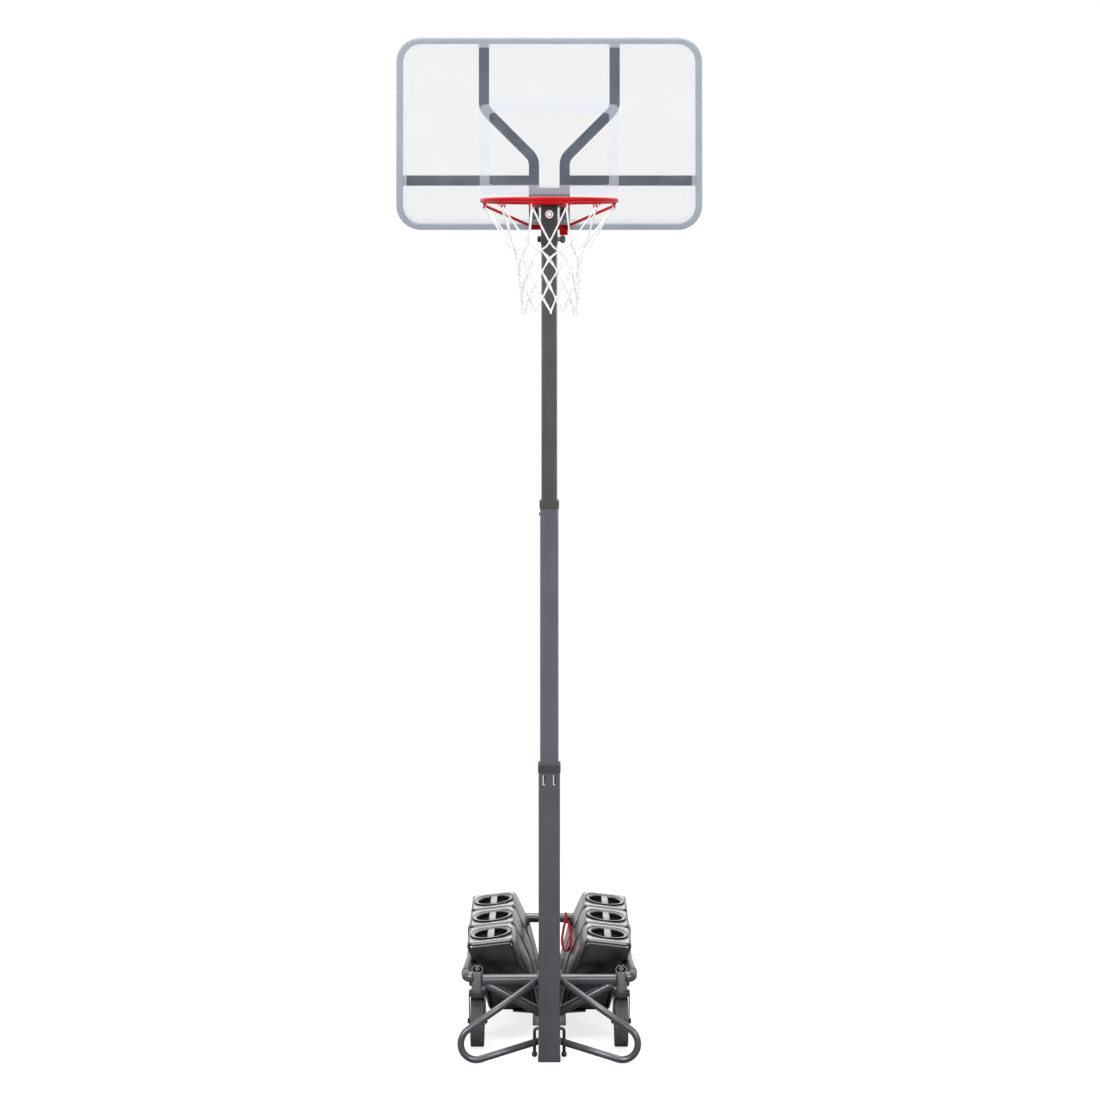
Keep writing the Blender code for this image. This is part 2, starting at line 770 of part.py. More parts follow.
def ring():
    """The round bar ring with small loops round its underside for the net."""
    x, y, z = RING_CENTRE
    path = [(u, v, z) for u, v in circle_outline((x, y), RING_RADIUS, 32)]
    put("ring", joined(wire(path, ROD_RADIUS, 2, closed=True), [net_hooks()]), "red_steel")


def net_hooks():
    x, y, z = RING_CENTRE
    top = z - ROD_RADIUS + 0.0030
    hooks = []
    for number in range(12):
        shape = ((-0.010, top), (-0.008, top - 0.014), (0.0, top - 0.019), (0.008, top - 0.014), (0.010, top))
        hook = wire([(0.0, u, v) for u, v in shape], 0.0024, 0)
        turn = Matrix.Rotation(radians(15 + 30 * number), 4, "Z")
        hooks.append(moved(hook, Matrix.Translation((x, y, 0)) @ turn @ Matrix.Translation((RING_RADIUS, 0, 0))))
    return gathered(hooks)


def ring_bracket():
    """Top and bottom plates on a web behind the pole head, an upstand, two braces and a small tab."""
    top = box((-0.069, -0.100, 3.0598), (0.069, 0.0585, 3.0648))
    web = box((-0.0285, 0.0498, 2.9600), (0.0285, 0.0583, 3.0620))
    upstand = box((-0.069, 0.0535, 3.0600), (0.069, 0.0583, 3.0840))
    bottom = box((-0.069, 0.0499, 2.957), (0.069, 0.0580, 2.973))
    tab = box((0.037, 0.0505, 2.936), (0.067, 0.0575, 2.9580))
    braces = [rod((s * 0.2265, -0.283, 3.0352), (s * 0.060, 0.0520, 2.9660), 0.0056, 8) for s in (-1, 1)]
    put("ring_bracket", joined(top, [web, upstand, bottom, tab] + braces), "red_steel")


def net():
    """A thin tapering sleeve where the cord net hangs."""
    outer = ((0.2080, 3.0120), (0.1720, 2.9500), (0.1270, 2.8900), (0.1030, 2.8400), (0.0990, 2.6580))
    profile = list(outer) + [(radius - 0.0040, height) for radius, height in reversed(outer)]
    x, y, _ = RING_CENTRE
    put("net", turned(profile, 20, (x, y, 0), (x, y, 1)), "cord")


def build():
    clear_scene()
    parts_collection()
    cross_tube()
    side_rails()
    rear_bar()
    base_braces()
    caster_sleeves()
    centre_post()
    tank_tray()
    tanks_and_lids()
    front_casters()
    rear_wheels()
    tie_strap()
    lower_pole()
    foot_cap()
    hinge_yoke()
    yoke_bolt()
    stabiliser_loops()
    heel_stops()
    collar("lower_collar", MIDDLE[0], LOWER[0] - LOWER[1], 0.0404, LOWER[3], HINGE)
    middle_pole()
    upper_collar()
    lock_button()
    upper_pole()
    head_yoke()
    badge()
    clamp()
    board_panel()
    board_print()
    rim_tube()
    board_bars()
    joining_plate()
    panel_bolts()
    ring()
    ring_bracket()
    net()


build()
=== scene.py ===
"""Looks for the portable basketball hoop. Metres, +Z up, the court side faces -Y."""

import json
import random
from math import atan2, cos, pi, radians, sin

import bmesh
import bpy
from mathutils import Matrix, Vector


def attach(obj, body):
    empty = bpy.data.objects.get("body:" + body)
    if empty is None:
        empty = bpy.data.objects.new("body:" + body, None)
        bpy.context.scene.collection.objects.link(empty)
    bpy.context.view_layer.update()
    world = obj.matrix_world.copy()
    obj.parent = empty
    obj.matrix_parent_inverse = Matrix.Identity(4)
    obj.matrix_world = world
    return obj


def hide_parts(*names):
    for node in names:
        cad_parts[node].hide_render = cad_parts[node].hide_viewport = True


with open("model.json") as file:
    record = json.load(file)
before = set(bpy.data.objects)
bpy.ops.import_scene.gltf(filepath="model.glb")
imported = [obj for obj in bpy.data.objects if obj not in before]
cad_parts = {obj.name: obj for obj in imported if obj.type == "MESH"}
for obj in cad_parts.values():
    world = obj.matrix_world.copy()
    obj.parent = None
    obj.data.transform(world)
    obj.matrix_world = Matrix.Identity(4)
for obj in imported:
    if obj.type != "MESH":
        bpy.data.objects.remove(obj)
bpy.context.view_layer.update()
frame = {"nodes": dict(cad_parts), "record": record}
nodes = frame["nodes"]
random.seed(11)

HINGE_Y = 0.120
SLEEVE_X = 0.260
CASTER_TRAIL = 0.035
RAIL_X, RAIL_Z = 0.289, 0.249
TANK_START, TANK_PITCH = 0.2525, 0.2525
CAP_X, CAP_Z = 0.2165, 0.3492
CAP_TILT = atan2(0.0205, 0.1720)
RING = (0.0, -0.315, 3.051)
RING_RADIUS = 0.233
BOARD_LOW, BOARD_HIGH, BOARD_HALF = 2.955, 3.655, 0.555
RIM_RADIUS, RIM_INSET = 0.0124, 0.0127
CORDS = 12
CORD_STEP = 360 / CORDS
FIRST_CORD = CORD_STEP / 2
REAR_BAR_Y, REAR_BAR_Z = 1.0318, 0.243
CAMERA_Y = -9.3345
WHITE_BACKDROP = 1.02


# ---------------------------------------------------------------- materials


MATERIALS = {}


class Graph:
    """A small wrapper that adds nodes and links them by name."""

    def __init__(self, name):
        self.name = name
        self.material = bpy.data.materials.new(name)
        self.material.use_nodes = True
        self.tree = self.material.node_tree
        self.tree.nodes.clear()
        self.out = self.add("ShaderNodeOutputMaterial")
        self.place = self.add("ShaderNodeTexCoord").outputs["Object"]

    def add(self, kind, **settings):
        node = self.tree.nodes.new(kind)
        for key, value in settings.items():
            setattr(node, key, value)
        return node

    def link(self, source, target):
        if isinstance(source, (int, float)):
            target.default_value = source
        elif isinstance(source, tuple):
            target.default_value = (*source, 1.0)[:4]
        else:
            self.tree.links.new(source, target)

    def stretched(self, scale):
        node = self.add("ShaderNodeMapping")
        self.link(self.place, node.inputs["Vector"])
        node.inputs["Scale"].default_value = scale
        return node.outputs[0]

    def noise(self, scale, detail=4.0, rough=0.55, vector=None):
        node = self.add("ShaderNodeTexNoise")
        self.link(vector or self.place, node.inputs["Vector"])
        node.inputs["Scale"].default_value = scale
        node.inputs["Detail"].default_value = detail
        node.inputs["Roughness"].default_value = rough
        return node.outputs["Fac"]

    def remap(self, value, low, high, to_low=0.0, to_high=1.0):
        node = self.add("ShaderNodeMapRange", clamp=True)
        self.link(value, node.inputs[0])
        for index, number in enumerate((low, high, to_low, to_high), 1):
            node.inputs[index].default_value = number
        return node.outputs[0]

    def math(self, operation, first, second=0.0):
        node = self.add("ShaderNodeMath", operation=operation)
        self.link(first, node.inputs[0])
        self.link(second, node.inputs[1])
        return node.outputs[0]

    def mix(self, factor, first, second):
        node = self.add("ShaderNodeMix", data_type="RGBA")
        self.link(factor, node.inputs[0])
        self.link(first, node.inputs[6])
        self.link(second, node.inputs[7])
        return node.outputs[2]

    def bump(self, height, strength, distance, below=None):
        node = self.add("ShaderNodeBump")
        node.inputs["Strength"].default_value = strength
        node.inputs["Distance"].default_value = distance
        self.link(height, node.inputs["Height"])
        if below:
            self.link(below, node.inputs["Normal"])
        return node.outputs[0]

    def upward(self, low=0.35, high=0.95):
        geometry = self.add("ShaderNodeNewGeometry")
        split = self.add("ShaderNodeSeparateXYZ")
        self.link(geometry.outputs["Normal"], split.inputs[0])
        return self.remap(split.outputs["Z"], low, high)

    def grazing(self, start, end, least):
        """Least where the surface is seen square on, rising to 1 at a shallow angle."""
        facing = self.add("ShaderNodeLayerWeight").outputs["Facing"]
        return self.remap(facing, start, end, least, 1.0)

    def height(self):
        split = self.add("ShaderNodeSeparateXYZ")
        self.link(self.place, split.inputs[0])
        return split.outputs["Z"]

    def shader(self, colour, roughness, metallic=0.0, normal=None, **others):
        node = self.add("ShaderNodeBsdfPrincipled")
        self.link(colour, node.inputs["Base Color"])
        self.link(roughness, node.inputs["Roughness"])
        self.link(metallic, node.inputs["Metallic"])
        if normal:
            self.link(normal, node.inputs["Normal"])
        for key, value in others.items():
            self.link(value, node.inputs[key.replace("_", " ")])
        return node.outputs[0]

    def done(self, shader):
        """Joins the shader to the output and files the material under its name."""
        self.link(shader, self.out.inputs["Surface"])
        MATERIALS[self.name] = self.material


def shade(colour, amount):
    return tuple(max(0.0, channel * amount) for channel in colour)


def painted(
    name, colour, rough, metal, coat=0.0, dust_and_sheen=0.08, chip=(0.30, 0.30, 0.32), gloss=0.5, bare=None
):
    """Powder coat: orange peel, mottling, dust on upward faces, tiny chips. Grey above bare."""
    g = Graph(name)
    mottle = g.noise(7.0, 5.0)
    streak = g.noise(14.0, 4.0, 0.6, g.stretched((1.0, 1.0, 0.10)))
    fine = g.noise(650.0, 3.0)
    base = g.mix(g.remap(mottle, 0.3, 0.7), shade(colour, 0.88), shade(colour, 1.12))
    base = g.mix(g.remap(streak, 0.45, 0.75, 0.0, 0.25), base, shade(colour, 1.35))
    chips = g.remap(g.noise(95.0, 6.0, 0.7), 0.735, 0.75)
    base = g.mix(g.math("MULTIPLY", chips, 0.7), base, chip)
    dust_and_sheen_mask = g.math("MULTIPLY", g.upward(), g.remap(mottle, 0.35, 0.65, dust_and_sheen * 0.4, dust_and_sheen))
    base = g.mix(dust_and_sheen_mask, base, (0.45, 0.44, 0.42))
    if bare:
        base = g.mix(g.remap(g.height(), bare - 0.0002, bare), base, (0.115, 0.130, 0.155))
    roughness = g.remap(streak, 0.3, 0.7, rough - 0.06, rough + 0.09)
    peel = g.bump(fine, 0.18, 0.0004)
    normal = g.bump(g.noise(60.0, 2.0), 0.06, 0.001, peel)
    g.done(
        g.shader(
            base,
            roughness,
            metal,
            normal,
            Coat_Weight=coat,
            Coat_Roughness=0.12,
            Specular_IOR_Level=gloss,
        )
    )


def moulded(
    name,
    colour,
    rough,
    dust_and_sheen=0.15,
    grain=0.35,
    pale=(0.42, 0.42, 0.42),
    scuff=0.3,
    crevice=0.0,
    gloss=0.5,
):
    """Plastic: grain, scuffs, dusty pale tops that with crevice set are also a painted reflection,
    and painted shade in gaps under crevice wide.
    """
    g = Graph(name)
    mottle = g.noise(9.0, 5.0)
    grain_map = g.add("ShaderNodeTexVoronoi")
    g.link(g.place, grain_map.inputs["Vector"])
    grain_map.inputs["Scale"].default_value = 420.0
    scratches = g.noise(26.0, 6.0, 0.75, g.stretched((1.0, 7.0, 1.5)))
    base = g.mix(g.remap(mottle, 0.3, 0.7), shade(colour, 0.8), shade(colour, 1.25))
    marks = g.remap(scratches, 0.64, 0.74, 0.0, scuff)
    base = g.mix(marks, base, shade(colour, 3.2))
    flat = g.upward(0.950, 0.980) if crevice else g.upward()
    dust_and_sheen_mask = g.math("MULTIPLY", flat, g.remap(mottle, 0.3, 0.7, dust_and_sheen * 0.75, dust_and_sheen))
    # With crevice set, the pale top grows where the surface is seen at a shallow angle, as a gloss
    # reflection would: that part is a painted reflection.
    if crevice:
        dust_and_sheen_mask = g.math("MULTIPLY", dust_and_sheen_mask, g.grazing(0.30, 0.74, 0.20))
    base = g.mix(dust_and_sheen_mask, base, pale)
    # Painted shade: ambient occlusion darkens the colour in gaps under crevice wide, and the gloss
    # drops there too.
    if crevice:
        near = g.add("ShaderNodeAmbientOcclusion", samples=8)
        near.inputs["Distance"].default_value = crevice
        open_air = g.remap(near.outputs["AO"], 0.45, 0.95)
        base = g.mix(open_air, shade(colour, 0.4), base)
    roughness = g.remap(mottle, 0.3, 0.7, rough - 0.07, rough + 0.08)
    roughness = g.math("ADD", roughness, g.math("MULTIPLY", marks, 0.25))
    normal = g.bump(grain_map.outputs["Distance"], grain, 0.0004)
    normal = g.bump(g.noise(18.0, 3.0), 0.06, 0.001, normal)
    shine = g.remap(open_air, 0.0, 1.0, 0.02, gloss) if crevice else gloss
    g.done(g.shader(base, roughness, 0.0, normal, Specular_IOR_Level=shine))


def rubber(name):
    """Wheel rubber: fine grain, grey wear on the tread."""
    g = Graph(name)
    mottle = g.noise(30.0, 5.0)
    base = g.mix(g.remap(mottle, 0.35, 0.7), (0.030, 0.030, 0.031), (0.058, 0.057, 0.056))
    dirt = g.remap(g.noise(70.0, 6.0, 0.7), 0.56, 0.72, 0.0, 0.35)
    base = g.mix(dirt, base, (0.16, 0.15, 0.14))
    normal = g.bump(g.noise(500.0, 4.0), 0.3, 0.0005)
    g.done(g.shader(base, g.remap(mottle, 0.3, 0.7, 0.52, 0.72), 0.0, normal))


def clear_panel(name):
    """Clear acrylic with a slight haze, faint wipe marks and a glossy face."""
    g = Graph(name)
    wipe = g.noise(3.0, 6.0, 0.65, g.stretched((1.0, 1.0, 3.0)))
    smudge = g.remap(wipe, 0.45, 0.75, 0.010, 0.045)
    clear = g.add("ShaderNodeBsdfTransparent")
    clear.inputs["Color"].default_value = (0.935, 0.938, 0.941, 1.0)
    haze = g.shader((0.86, 0.88, 0.92), 0.35)
    gloss = g.add("ShaderNodeBsdfGlossy")
    g.link((0.9, 0.92, 0.95), gloss.inputs["Color"])
    g.link(g.remap(wipe, 0.3, 0.7, 0.03, 0.10), gloss.inputs["Roughness"])
    g.link(g.bump(g.noise(2.2, 2.0), 0.05, 0.003), gloss.inputs["Normal"])
    fresnel = g.add("ShaderNodeFresnel")
    fresnel.inputs["IOR"].default_value = 1.40
    first = g.add("ShaderNodeMixShader")
    g.link(smudge, first.inputs[0])
    g.link(clear.outputs[0], first.inputs[1])
    g.link(haze, first.inputs[2])
    second = g.add("ShaderNodeMixShader")
    g.link(g.math("MULTIPLY", fresnel.outputs[0], 0.7), second.inputs[0])
    g.link(first.outputs[0], second.inputs[1])
    g.link(gloss.outputs[0], second.inputs[2])
    g.done(second.outputs[0])


def printed(name):
    """White screen print on the panel: a thin layer that lets what is behind show."""
    g = Graph(name)
    patch = g.noise(24.0, 5.0)
    ink = g.shader(
        g.mix(patch, (0.43, 0.46, 0.52), (0.46, 0.49, 0.56)),
        g.remap(patch, 0.3, 0.7, 0.35, 0.5),
        0.0,
        g.bump(g.noise(900.0, 2.0), 0.15, 0.0003),
    )
    clear = g.add("ShaderNodeBsdfTransparent")
    both = g.add("ShaderNodeMixShader")
    front = g.math("SUBTRACT", 1.0, g.add("ShaderNodeNewGeometry").outputs["Backfacing"])
    cover = g.remap(patch, 0.35, 0.7, 0.46, 0.41)
    g.link(g.math("MULTIPLY", front, cover), both.inputs[0])
    g.link(clear.outputs[0], both.inputs[1])
    g.link(ink, both.inputs[2])
    g.done(both.outputs[0])


def woven(name, colour, scale, sheen):
    """Cord or webbing: crossed fine waves for the braid, and soft soiling."""
    g = Graph(name)
    heights = []
    for direction, tilt in (("X", 0.7), ("Z", -0.7)):
        turn = g.add("ShaderNodeMapping")
        g.link(g.place, turn.inputs["Vector"])
        turn.inputs["Rotation"].default_value = (tilt, tilt, 0.4)
        wave = g.add("ShaderNodeTexWave", bands_direction=direction)
        g.link(turn.outputs[0], wave.inputs["Vector"])
        wave.inputs["Scale"].default_value = scale
        wave.inputs["Distortion"].default_value = 1.0
        heights.append(wave.outputs["Fac"])
    braid = g.math("MULTIPLY", heights[0], heights[1])
    soil = g.remap(g.noise(16.0, 5.0), 0.4, 0.7)
    base = g.mix(soil, colour, shade(colour, 0.82))
    # Darker where the braid is low: painted shade in the grooves between strands.
    base = g.mix(g.remap(braid, 0.0, 0.4, 0.35, 0.0), base, shade(colour, 0.55))
    gloss = 0.5 * sheen + 0.1
    normal = g.bump(braid, 0.5, 0.0008)
    g.done(g.shader(base, 0.85, 0.0, normal, Sheen_Weight=sheen, Specular_IOR_Level=gloss))


def badge_face(name):
    """A plain pale disc with a dark red ring, and no mark on it."""
    g = Graph(name)
    split = g.add("ShaderNodeSeparateXYZ")
    g.link(g.place, split.inputs[0])
    along = g.math("POWER", split.outputs["X"], 2.0)
    up = g.math("POWER", g.math("SUBTRACT", split.outputs["Z"], 3.010), 2.0)
    radius = g.math("SQRT", g.math("ADD", along, up))
    ring = g.math("MULTIPLY", g.remap(radius, 0.0078, 0.0082), g.remap(radius, 0.0106, 0.0102))
    base = g.mix(g.noise(60.0), (0.72, 0.66, 0.67), (0.82, 0.78, 0.78))
    base = g.mix(ring, base, (0.30, 0.02, 0.03))
    g.done(g.shader(base, g.remap(g.noise(40.0), 0.3, 0.7, 0.25, 0.4)))


PAINT_RED = (0.34, 0.0008, 0.0028)
RED_CHIP = (0.25, 0.03, 0.03)
BRACKET_GREY_FROM = 3.0652
TANK_BLACK = (0.0050, 0.0050, 0.0052)
# The pale colour of the tanks' and lids' tops: a dusty film and a painted reflection.
TANK_DUST_AND_SHEEN = (0.66, 0.66, 0.65)
painted("grey_painted_steel", (0.070, 0.072, 0.080), 0.30, 0.40, 0.15)
painted("middle_grey", (0.078, 0.083, 0.100), 0.34, 0.35, 0.15)
painted("sleeve_grey", (0.115, 0.115, 0.122), 0.34, 0.30, 0.15)
# The upper pole takes the grey paint made darker: painted shade towards the top of the pole.
painted("upper_pole_shaded_grey", (0.048, 0.049, 0.056), 0.34, 0.30, 0.15)
painted("black_painted_steel", (0.022, 0.022, 0.024), 0.42, 0.15, 0.1, 0.06)
painted("red_painted_steel", PAINT_RED, 0.34, 0.0, 0.0, 0.0, RED_CHIP, 0.12)
painted("red_bracket", PAINT_RED, 0.34, 0.0, 0.0, 0.0, RED_CHIP, 0.12, BRACKET_GREY_FROM)
painted("board_frame_aluminium", (0.072, 0.088, 0.115), 0.38, 0.30, 0.1, 0.05)
moulded("black_plastic", (0.020, 0.020, 0.022), 0.45, 0.05)
moulded("tank_plastic", TANK_BLACK, 0.22, 0.60, 0.05, TANK_DUST_AND_SHEEN, 0.10, 0.040, 0.7)
moulded("lid_plastic", TANK_BLACK, 0.30, 0.46, 0.08, TANK_DUST_AND_SHEEN, 0.10, 0.030, 0.6)
rubber("wheel_rubber")
clear_panel("clear_panel")
printed("white_print")
woven("white_cord", (0.78, 0.78, 0.78), 900.0, 0.2)
woven("red_webbing", (0.235, 0.002, 0.008), 1400.0, 0.0)
badge_face("badge")
# Near-black with no pale top and almost no gloss: painted shade inside the lid dishes and the
# caster sleeves.
moulded("painted_shade_black", (0.005, 0.005, 0.005), 0.6, 0.0, 0.2, gloss=0.05)
moulded("hub_plastic", (0.032, 0.032, 0.034), 0.38, 0.08)
# Pale grey for the bent strips in the pole's slots; what the strips are is not known.
painted("slot_pale_grey", (0.50, 0.51, 0.55), 0.55, 0.0, 0.0, 0.0, (0.5, 0.5, 0.52))
painted("bright_steel", (0.20, 0.20, 0.205), 0.32, 0.9, 0.0, 0.0, (0.3, 0.3, 0.3))
OWN_LOOK = {
    "badge": "badge",
    "mid_pole": "middle_grey",
    "upper_pole": "upper_pole_shaded_grey",
    "ring_bracket": "red_bracket",
}


# ---------------------------------------------------------------- geometry helpers


def add_mesh(name, bm):
    """Turns bm into a smooth object that keeps its sharp edges."""
    bmesh.ops.recalc_face_normals(bm, faces=bm.faces)
    for face in bm.faces:
        face.smooth = True
    for edge in bm.edges:
        if len(edge.link_faces) == 2 and edge.calc_face_angle(0.0) > radians(38):
            edge.smooth = False
    mesh = bpy.data.meshes.new(name)
    bm.to_mesh(mesh)
    bm.free()
    obj = bpy.data.objects.new(name, mesh)
    bpy.context.scene.collection.objects.link(obj)
    return obj


def apply_modifiers(obj):
    """The object as a plain mesh, with its modifiers or its curve bevel worked in."""
    bpy.context.view_layer.update()
    graph = bpy.context.evaluated_depsgraph_get()
    mesh = bpy.data.meshes.new_from_object(obj.evaluated_get(graph))
    old = obj.data
    if obj.type == "MESH":
        obj.modifiers.clear()
        obj.data = mesh
        return obj
    made = bpy.data.objects.new(obj.name, mesh)
    bpy.data.objects.remove(obj, do_unlink=True)
    bpy.data.curves.remove(old)
    bpy.context.scene.collection.objects.link(made)
    return made


def soften(obj, width, angle):
    bevel = obj.modifiers.new("soft", "BEVEL")
    bevel.width = width
    bevel.segments = 2
    bevel.limit_method = "ANGLE"
    bevel.angle_limit = radians(angle)


def carved(obj, cutter, soft=None):
    """Obj less the cutter, with its sharp edges rounded if soft is given."""
    step = obj.modifiers.new("cut", "BOOLEAN")
    step.object = cutter
    step.solver = "EXACT"
    if soft:
        soften(obj, soft, 40)
    obj = apply_modifiers(obj)
    bpy.data.objects.remove(cutter, do_unlink=True)
    return obj


def add_box(bm, size, place=Matrix.Identity(4)):
    bmesh.ops.create_cube(bm, size=1.0, matrix=place @ Matrix.Diagonal((*size, 1)))


def finished(obj, body, slot, *stands_for, material=None):
    """Gives a piece its material, its body and the CAD node it stands for."""
    obj.data.materials.clear()
    obj.data.materials.append(MATERIALS[material or slot])
    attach(obj, body)
    if stands_for:
        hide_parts(*stands_for)


def aimed(start, end):
    """A frame at start whose Z axis points to end."""
    turn = (Vector(end) - Vector(start)).to_track_quat("Z", "Y").to_matrix().to_4x4()
    return Matrix.Translation(start) @ turn


def turned(bm, profile, steps, matrix=Matrix.Identity(4)):
    """Spins (radius, height) points about Z into bm: a closed loop, or from axis to axis."""
    rings = []
    for radius, height in profile:
        if radius < 1e-7:
            rings.append([bm.verts.new(matrix @ Vector((0, 0, height)))])
            continue
        ring = []
        for step in range(steps):
            angle = 2 * pi * step / steps
            point = Vector((radius * cos(angle), radius * sin(angle), height))
            ring.append(bm.verts.new(matrix @ point))
        rings.append(ring)
    pairs = list(zip(rings, rings[1:]))
    if len(rings[0]) > 1:
        pairs.append((rings[-1], rings[0]))
    for low, high in pairs:
        for step in range(steps):
            after = (step + 1) % steps
            corners = [low[step % len(low)], low[after % len(low)]]
            corners += [high[after % len(high)], high[step % len(high)]]
            corners = list(dict.fromkeys(corners))
            if len(corners) > 2:
                bm.faces.new(corners)


def tube(name, path, radius, closed=False, resolution=6):
    """A round rod along one path, or along each path of a list."""
    curve = bpy.data.curves.new(name, "CURVE")
    curve.dimensions = "3D"
    curve.bevel_depth = radius
    curve.bevel_resolution = resolution
    curve.use_fill_caps = True
    for line in path if isinstance(path[0], list) else [path]:
        spline = curve.splines.new("POLY")
        spline.points.add(len(line) - 1)
        for point, place in zip(spline.points, line):
            point.co = (*place, 1.0)
        spline.use_cyclic_u = closed
    obj = bpy.data.objects.new(name, curve)
    bpy.context.scene.collection.objects.link(obj)
    obj = apply_modifiers(obj)
    for polygon in obj.data.polygons:
        polygon.use_smooth = len(polygon.vertices) == 4
    return obj


def rounded_path(points, radius, steps):
    """An open path with true arcs at its corners."""
    points = [Vector(point) for point in points]
    path = []
    for index, point in enumerate(points):
        if index in (0, len(points) - 1):
            path.append(point)
            continue
        before = (points[index - 1] - point).normalized()
        after = (points[index + 1] - point).normalized()
        half = before.angle(after) / 2
        centre = point + (before + after).normalized() * (radius / sin(half))
        first = point + before * (radius * cos(half) / sin(half))
        last = point + after * (radius * cos(half) / sin(half))
        for step in range(steps + 1):
            start, end = (first - centre).normalized(), (last - centre).normalized()
            path.append(centre + start.slerp(end, step / steps) * radius)
    return path


def smooth_path(points, per_span=6, closed=False):
    """A Catmull-Rom line through points."""
    points = [Vector(point) for point in points]
    count = len(points)
    path = []
    for index in range(count if closed else count - 1):
        if closed:
            a, b, c, d = (points[(index + k) % count] for k in (-1, 0, 1, 2))
        else:
            a, b = points[max(index - 1, 0)], points[index]
            c, d = points[index + 1], points[min(index + 2, count - 1)]
        for step in range(per_span):
            t = step / per_span
            square, cube = 2 * a - 5 * b + 4 * c - d, 3 * b - a - 3 * c + d
            path.append(0.5 * (2 * b + (c - a) * t + square * t**2 + cube * t**3))
    if not closed:
        path.append(points[-1])
    return path


SIDES = ((-1, "left"), (1, "right"))


# ---------------------------------------------------------------- CAD nodes that stay


def dress_cad():
    """Every CAD node gets its slot's material, welded seams and small soft edges."""
    slots = {entry["node"]: entry["material_slot"] for entry in frame["record"]["subparts"]}
    for name, obj in nodes.items():
        obj.data.materials.clear()
        obj.data.materials.append(MATERIALS[OWN_LOOK.get(name, slots[name])])
        flat = name in ("board_panel", "border_print", "target_print")
        for polygon in obj.data.polygons:
            polygon.use_smooth = not flat
        weld = obj.modifiers.new("weld", "WELD")
        weld.merge_threshold = 0.00002
        if not flat:
            soften(obj, 0.0008, 34)
            obj.modifiers.new("weighted", "WEIGHTED_NORMAL")


# ---------------------------------------------------------------- base pieces


# X, Z and the reach of the rounding at each corner of the right tanks' section.
TANK_CORNERS = (
    (0.3085, 0.3383, 0.022),
    (0.1345, 0.3590, 0.022),
    (0.0735, 0.2300, 0.020),
    (0.0400, 0.0978, 0.010),
    (0.2200, 0.0978, 0.012),
    (0.2660, 0.2600, 0.008),
    (0.2830, 0.2750, 0.008),
)


TANK_FRONT_EDGE, TANK_REAR_EDGE = 0.021, 0.012
TANK_FRONT_GAP, TANK_GAP = 0.0030, 0.0095


def tank_outline(side, inset):
    """The tank's section moved in by inset, with its corners rounded."""
    count = len(TANK_CORNERS)
    corners = []
    for index, (x, z, _) in enumerate(TANK_CORNERS):
        point = Vector((x, z))
        before = (point - Vector(TANK_CORNERS[index - 1][:2])).normalized()
        after = (Vector(TANK_CORNERS[(index + 1) % count][:2]) - point).normalized()
        inward = Vector((-before.y, before.x)) + Vector((-after.y, after.x))
        corners.append(point + inward * (inset / (1.0 + before.dot(after))))
    outline = []
    for index, point in enumerate(corners):
        reach = max(TANK_CORNERS[index][2] - 0.45 * inset, 0.0025)
        before = (corners[index - 1] - point).normalized() * reach
        after = (corners[(index + 1) % count] - point).normalized() * reach
        for step in range(7):
            t = step / 6
            place = (point + before) * (1 - t) ** 2 + point * 2 * t * (1 - t)
            place += (point + after) * t * t
            outline.append((side * place.x, place.y))
    return outline


def cap_place(side, number):
    """The frame of a lid, on the slope of its tank's top."""
    y = TANK_START + TANK_PITCH * (number + 0.5)
    return Matrix.Translation((side * CAP_X, y, CAP_Z)) @ Matrix.Rotation(side * CAP_TILT, 4, "Y")


def tank(side, side_name, number, place_name):
    """A blow-moulded tank with large round edges and a pocket for its lid."""
    low = TANK_START + TANK_PITCH * number + TANK_FRONT_GAP
    high = low + TANK_PITCH - TANK_GAP
    sections = []
    for step in range(8):
        turn = radians(90 * step / 7)
        off, inset = 1 - sin(turn), 1 - cos(turn)
        sections.insert(0, (low + TANK_FRONT_EDGE * off, TANK_FRONT_EDGE * inset))
        sections.append((high - TANK_REAR_EDGE * off, TANK_REAR_EDGE * inset))
    bm = bmesh.new()
    loops = []
    for y, inset in sections:
        loops.append([bm.verts.new((x, y, z)) for x, z in tank_outline(side, inset)])
    for first, second in zip(loops, loops[1:]):
        for index in range(len(first)):
            after = (index + 1) % len(first)
            bm.faces.new((first[index], first[after], second[after], second[index]))
    bm.faces.new(loops[0])
    bm.faces.new(loops[-1])
    obj = add_mesh(f"tank_shell_{side_name}_{place_name}", bm)
    pocket = bmesh.new()
    profile = ((0.0, -0.0222), (0.0766, -0.0222), (0.0766, -0.0012), (0.0782, 0.0010))
    profile += ((0.0782, 0.03), (0.0, 0.03))
    turned(pocket, profile, 72, cap_place(side, number))
    obj = carved(obj, add_mesh("pocket", pocket))
    finished(obj, "base", "tank_plastic", f"tank_{side_name}_{place_name}")


LID_DISH_RADIUS = 0.0606


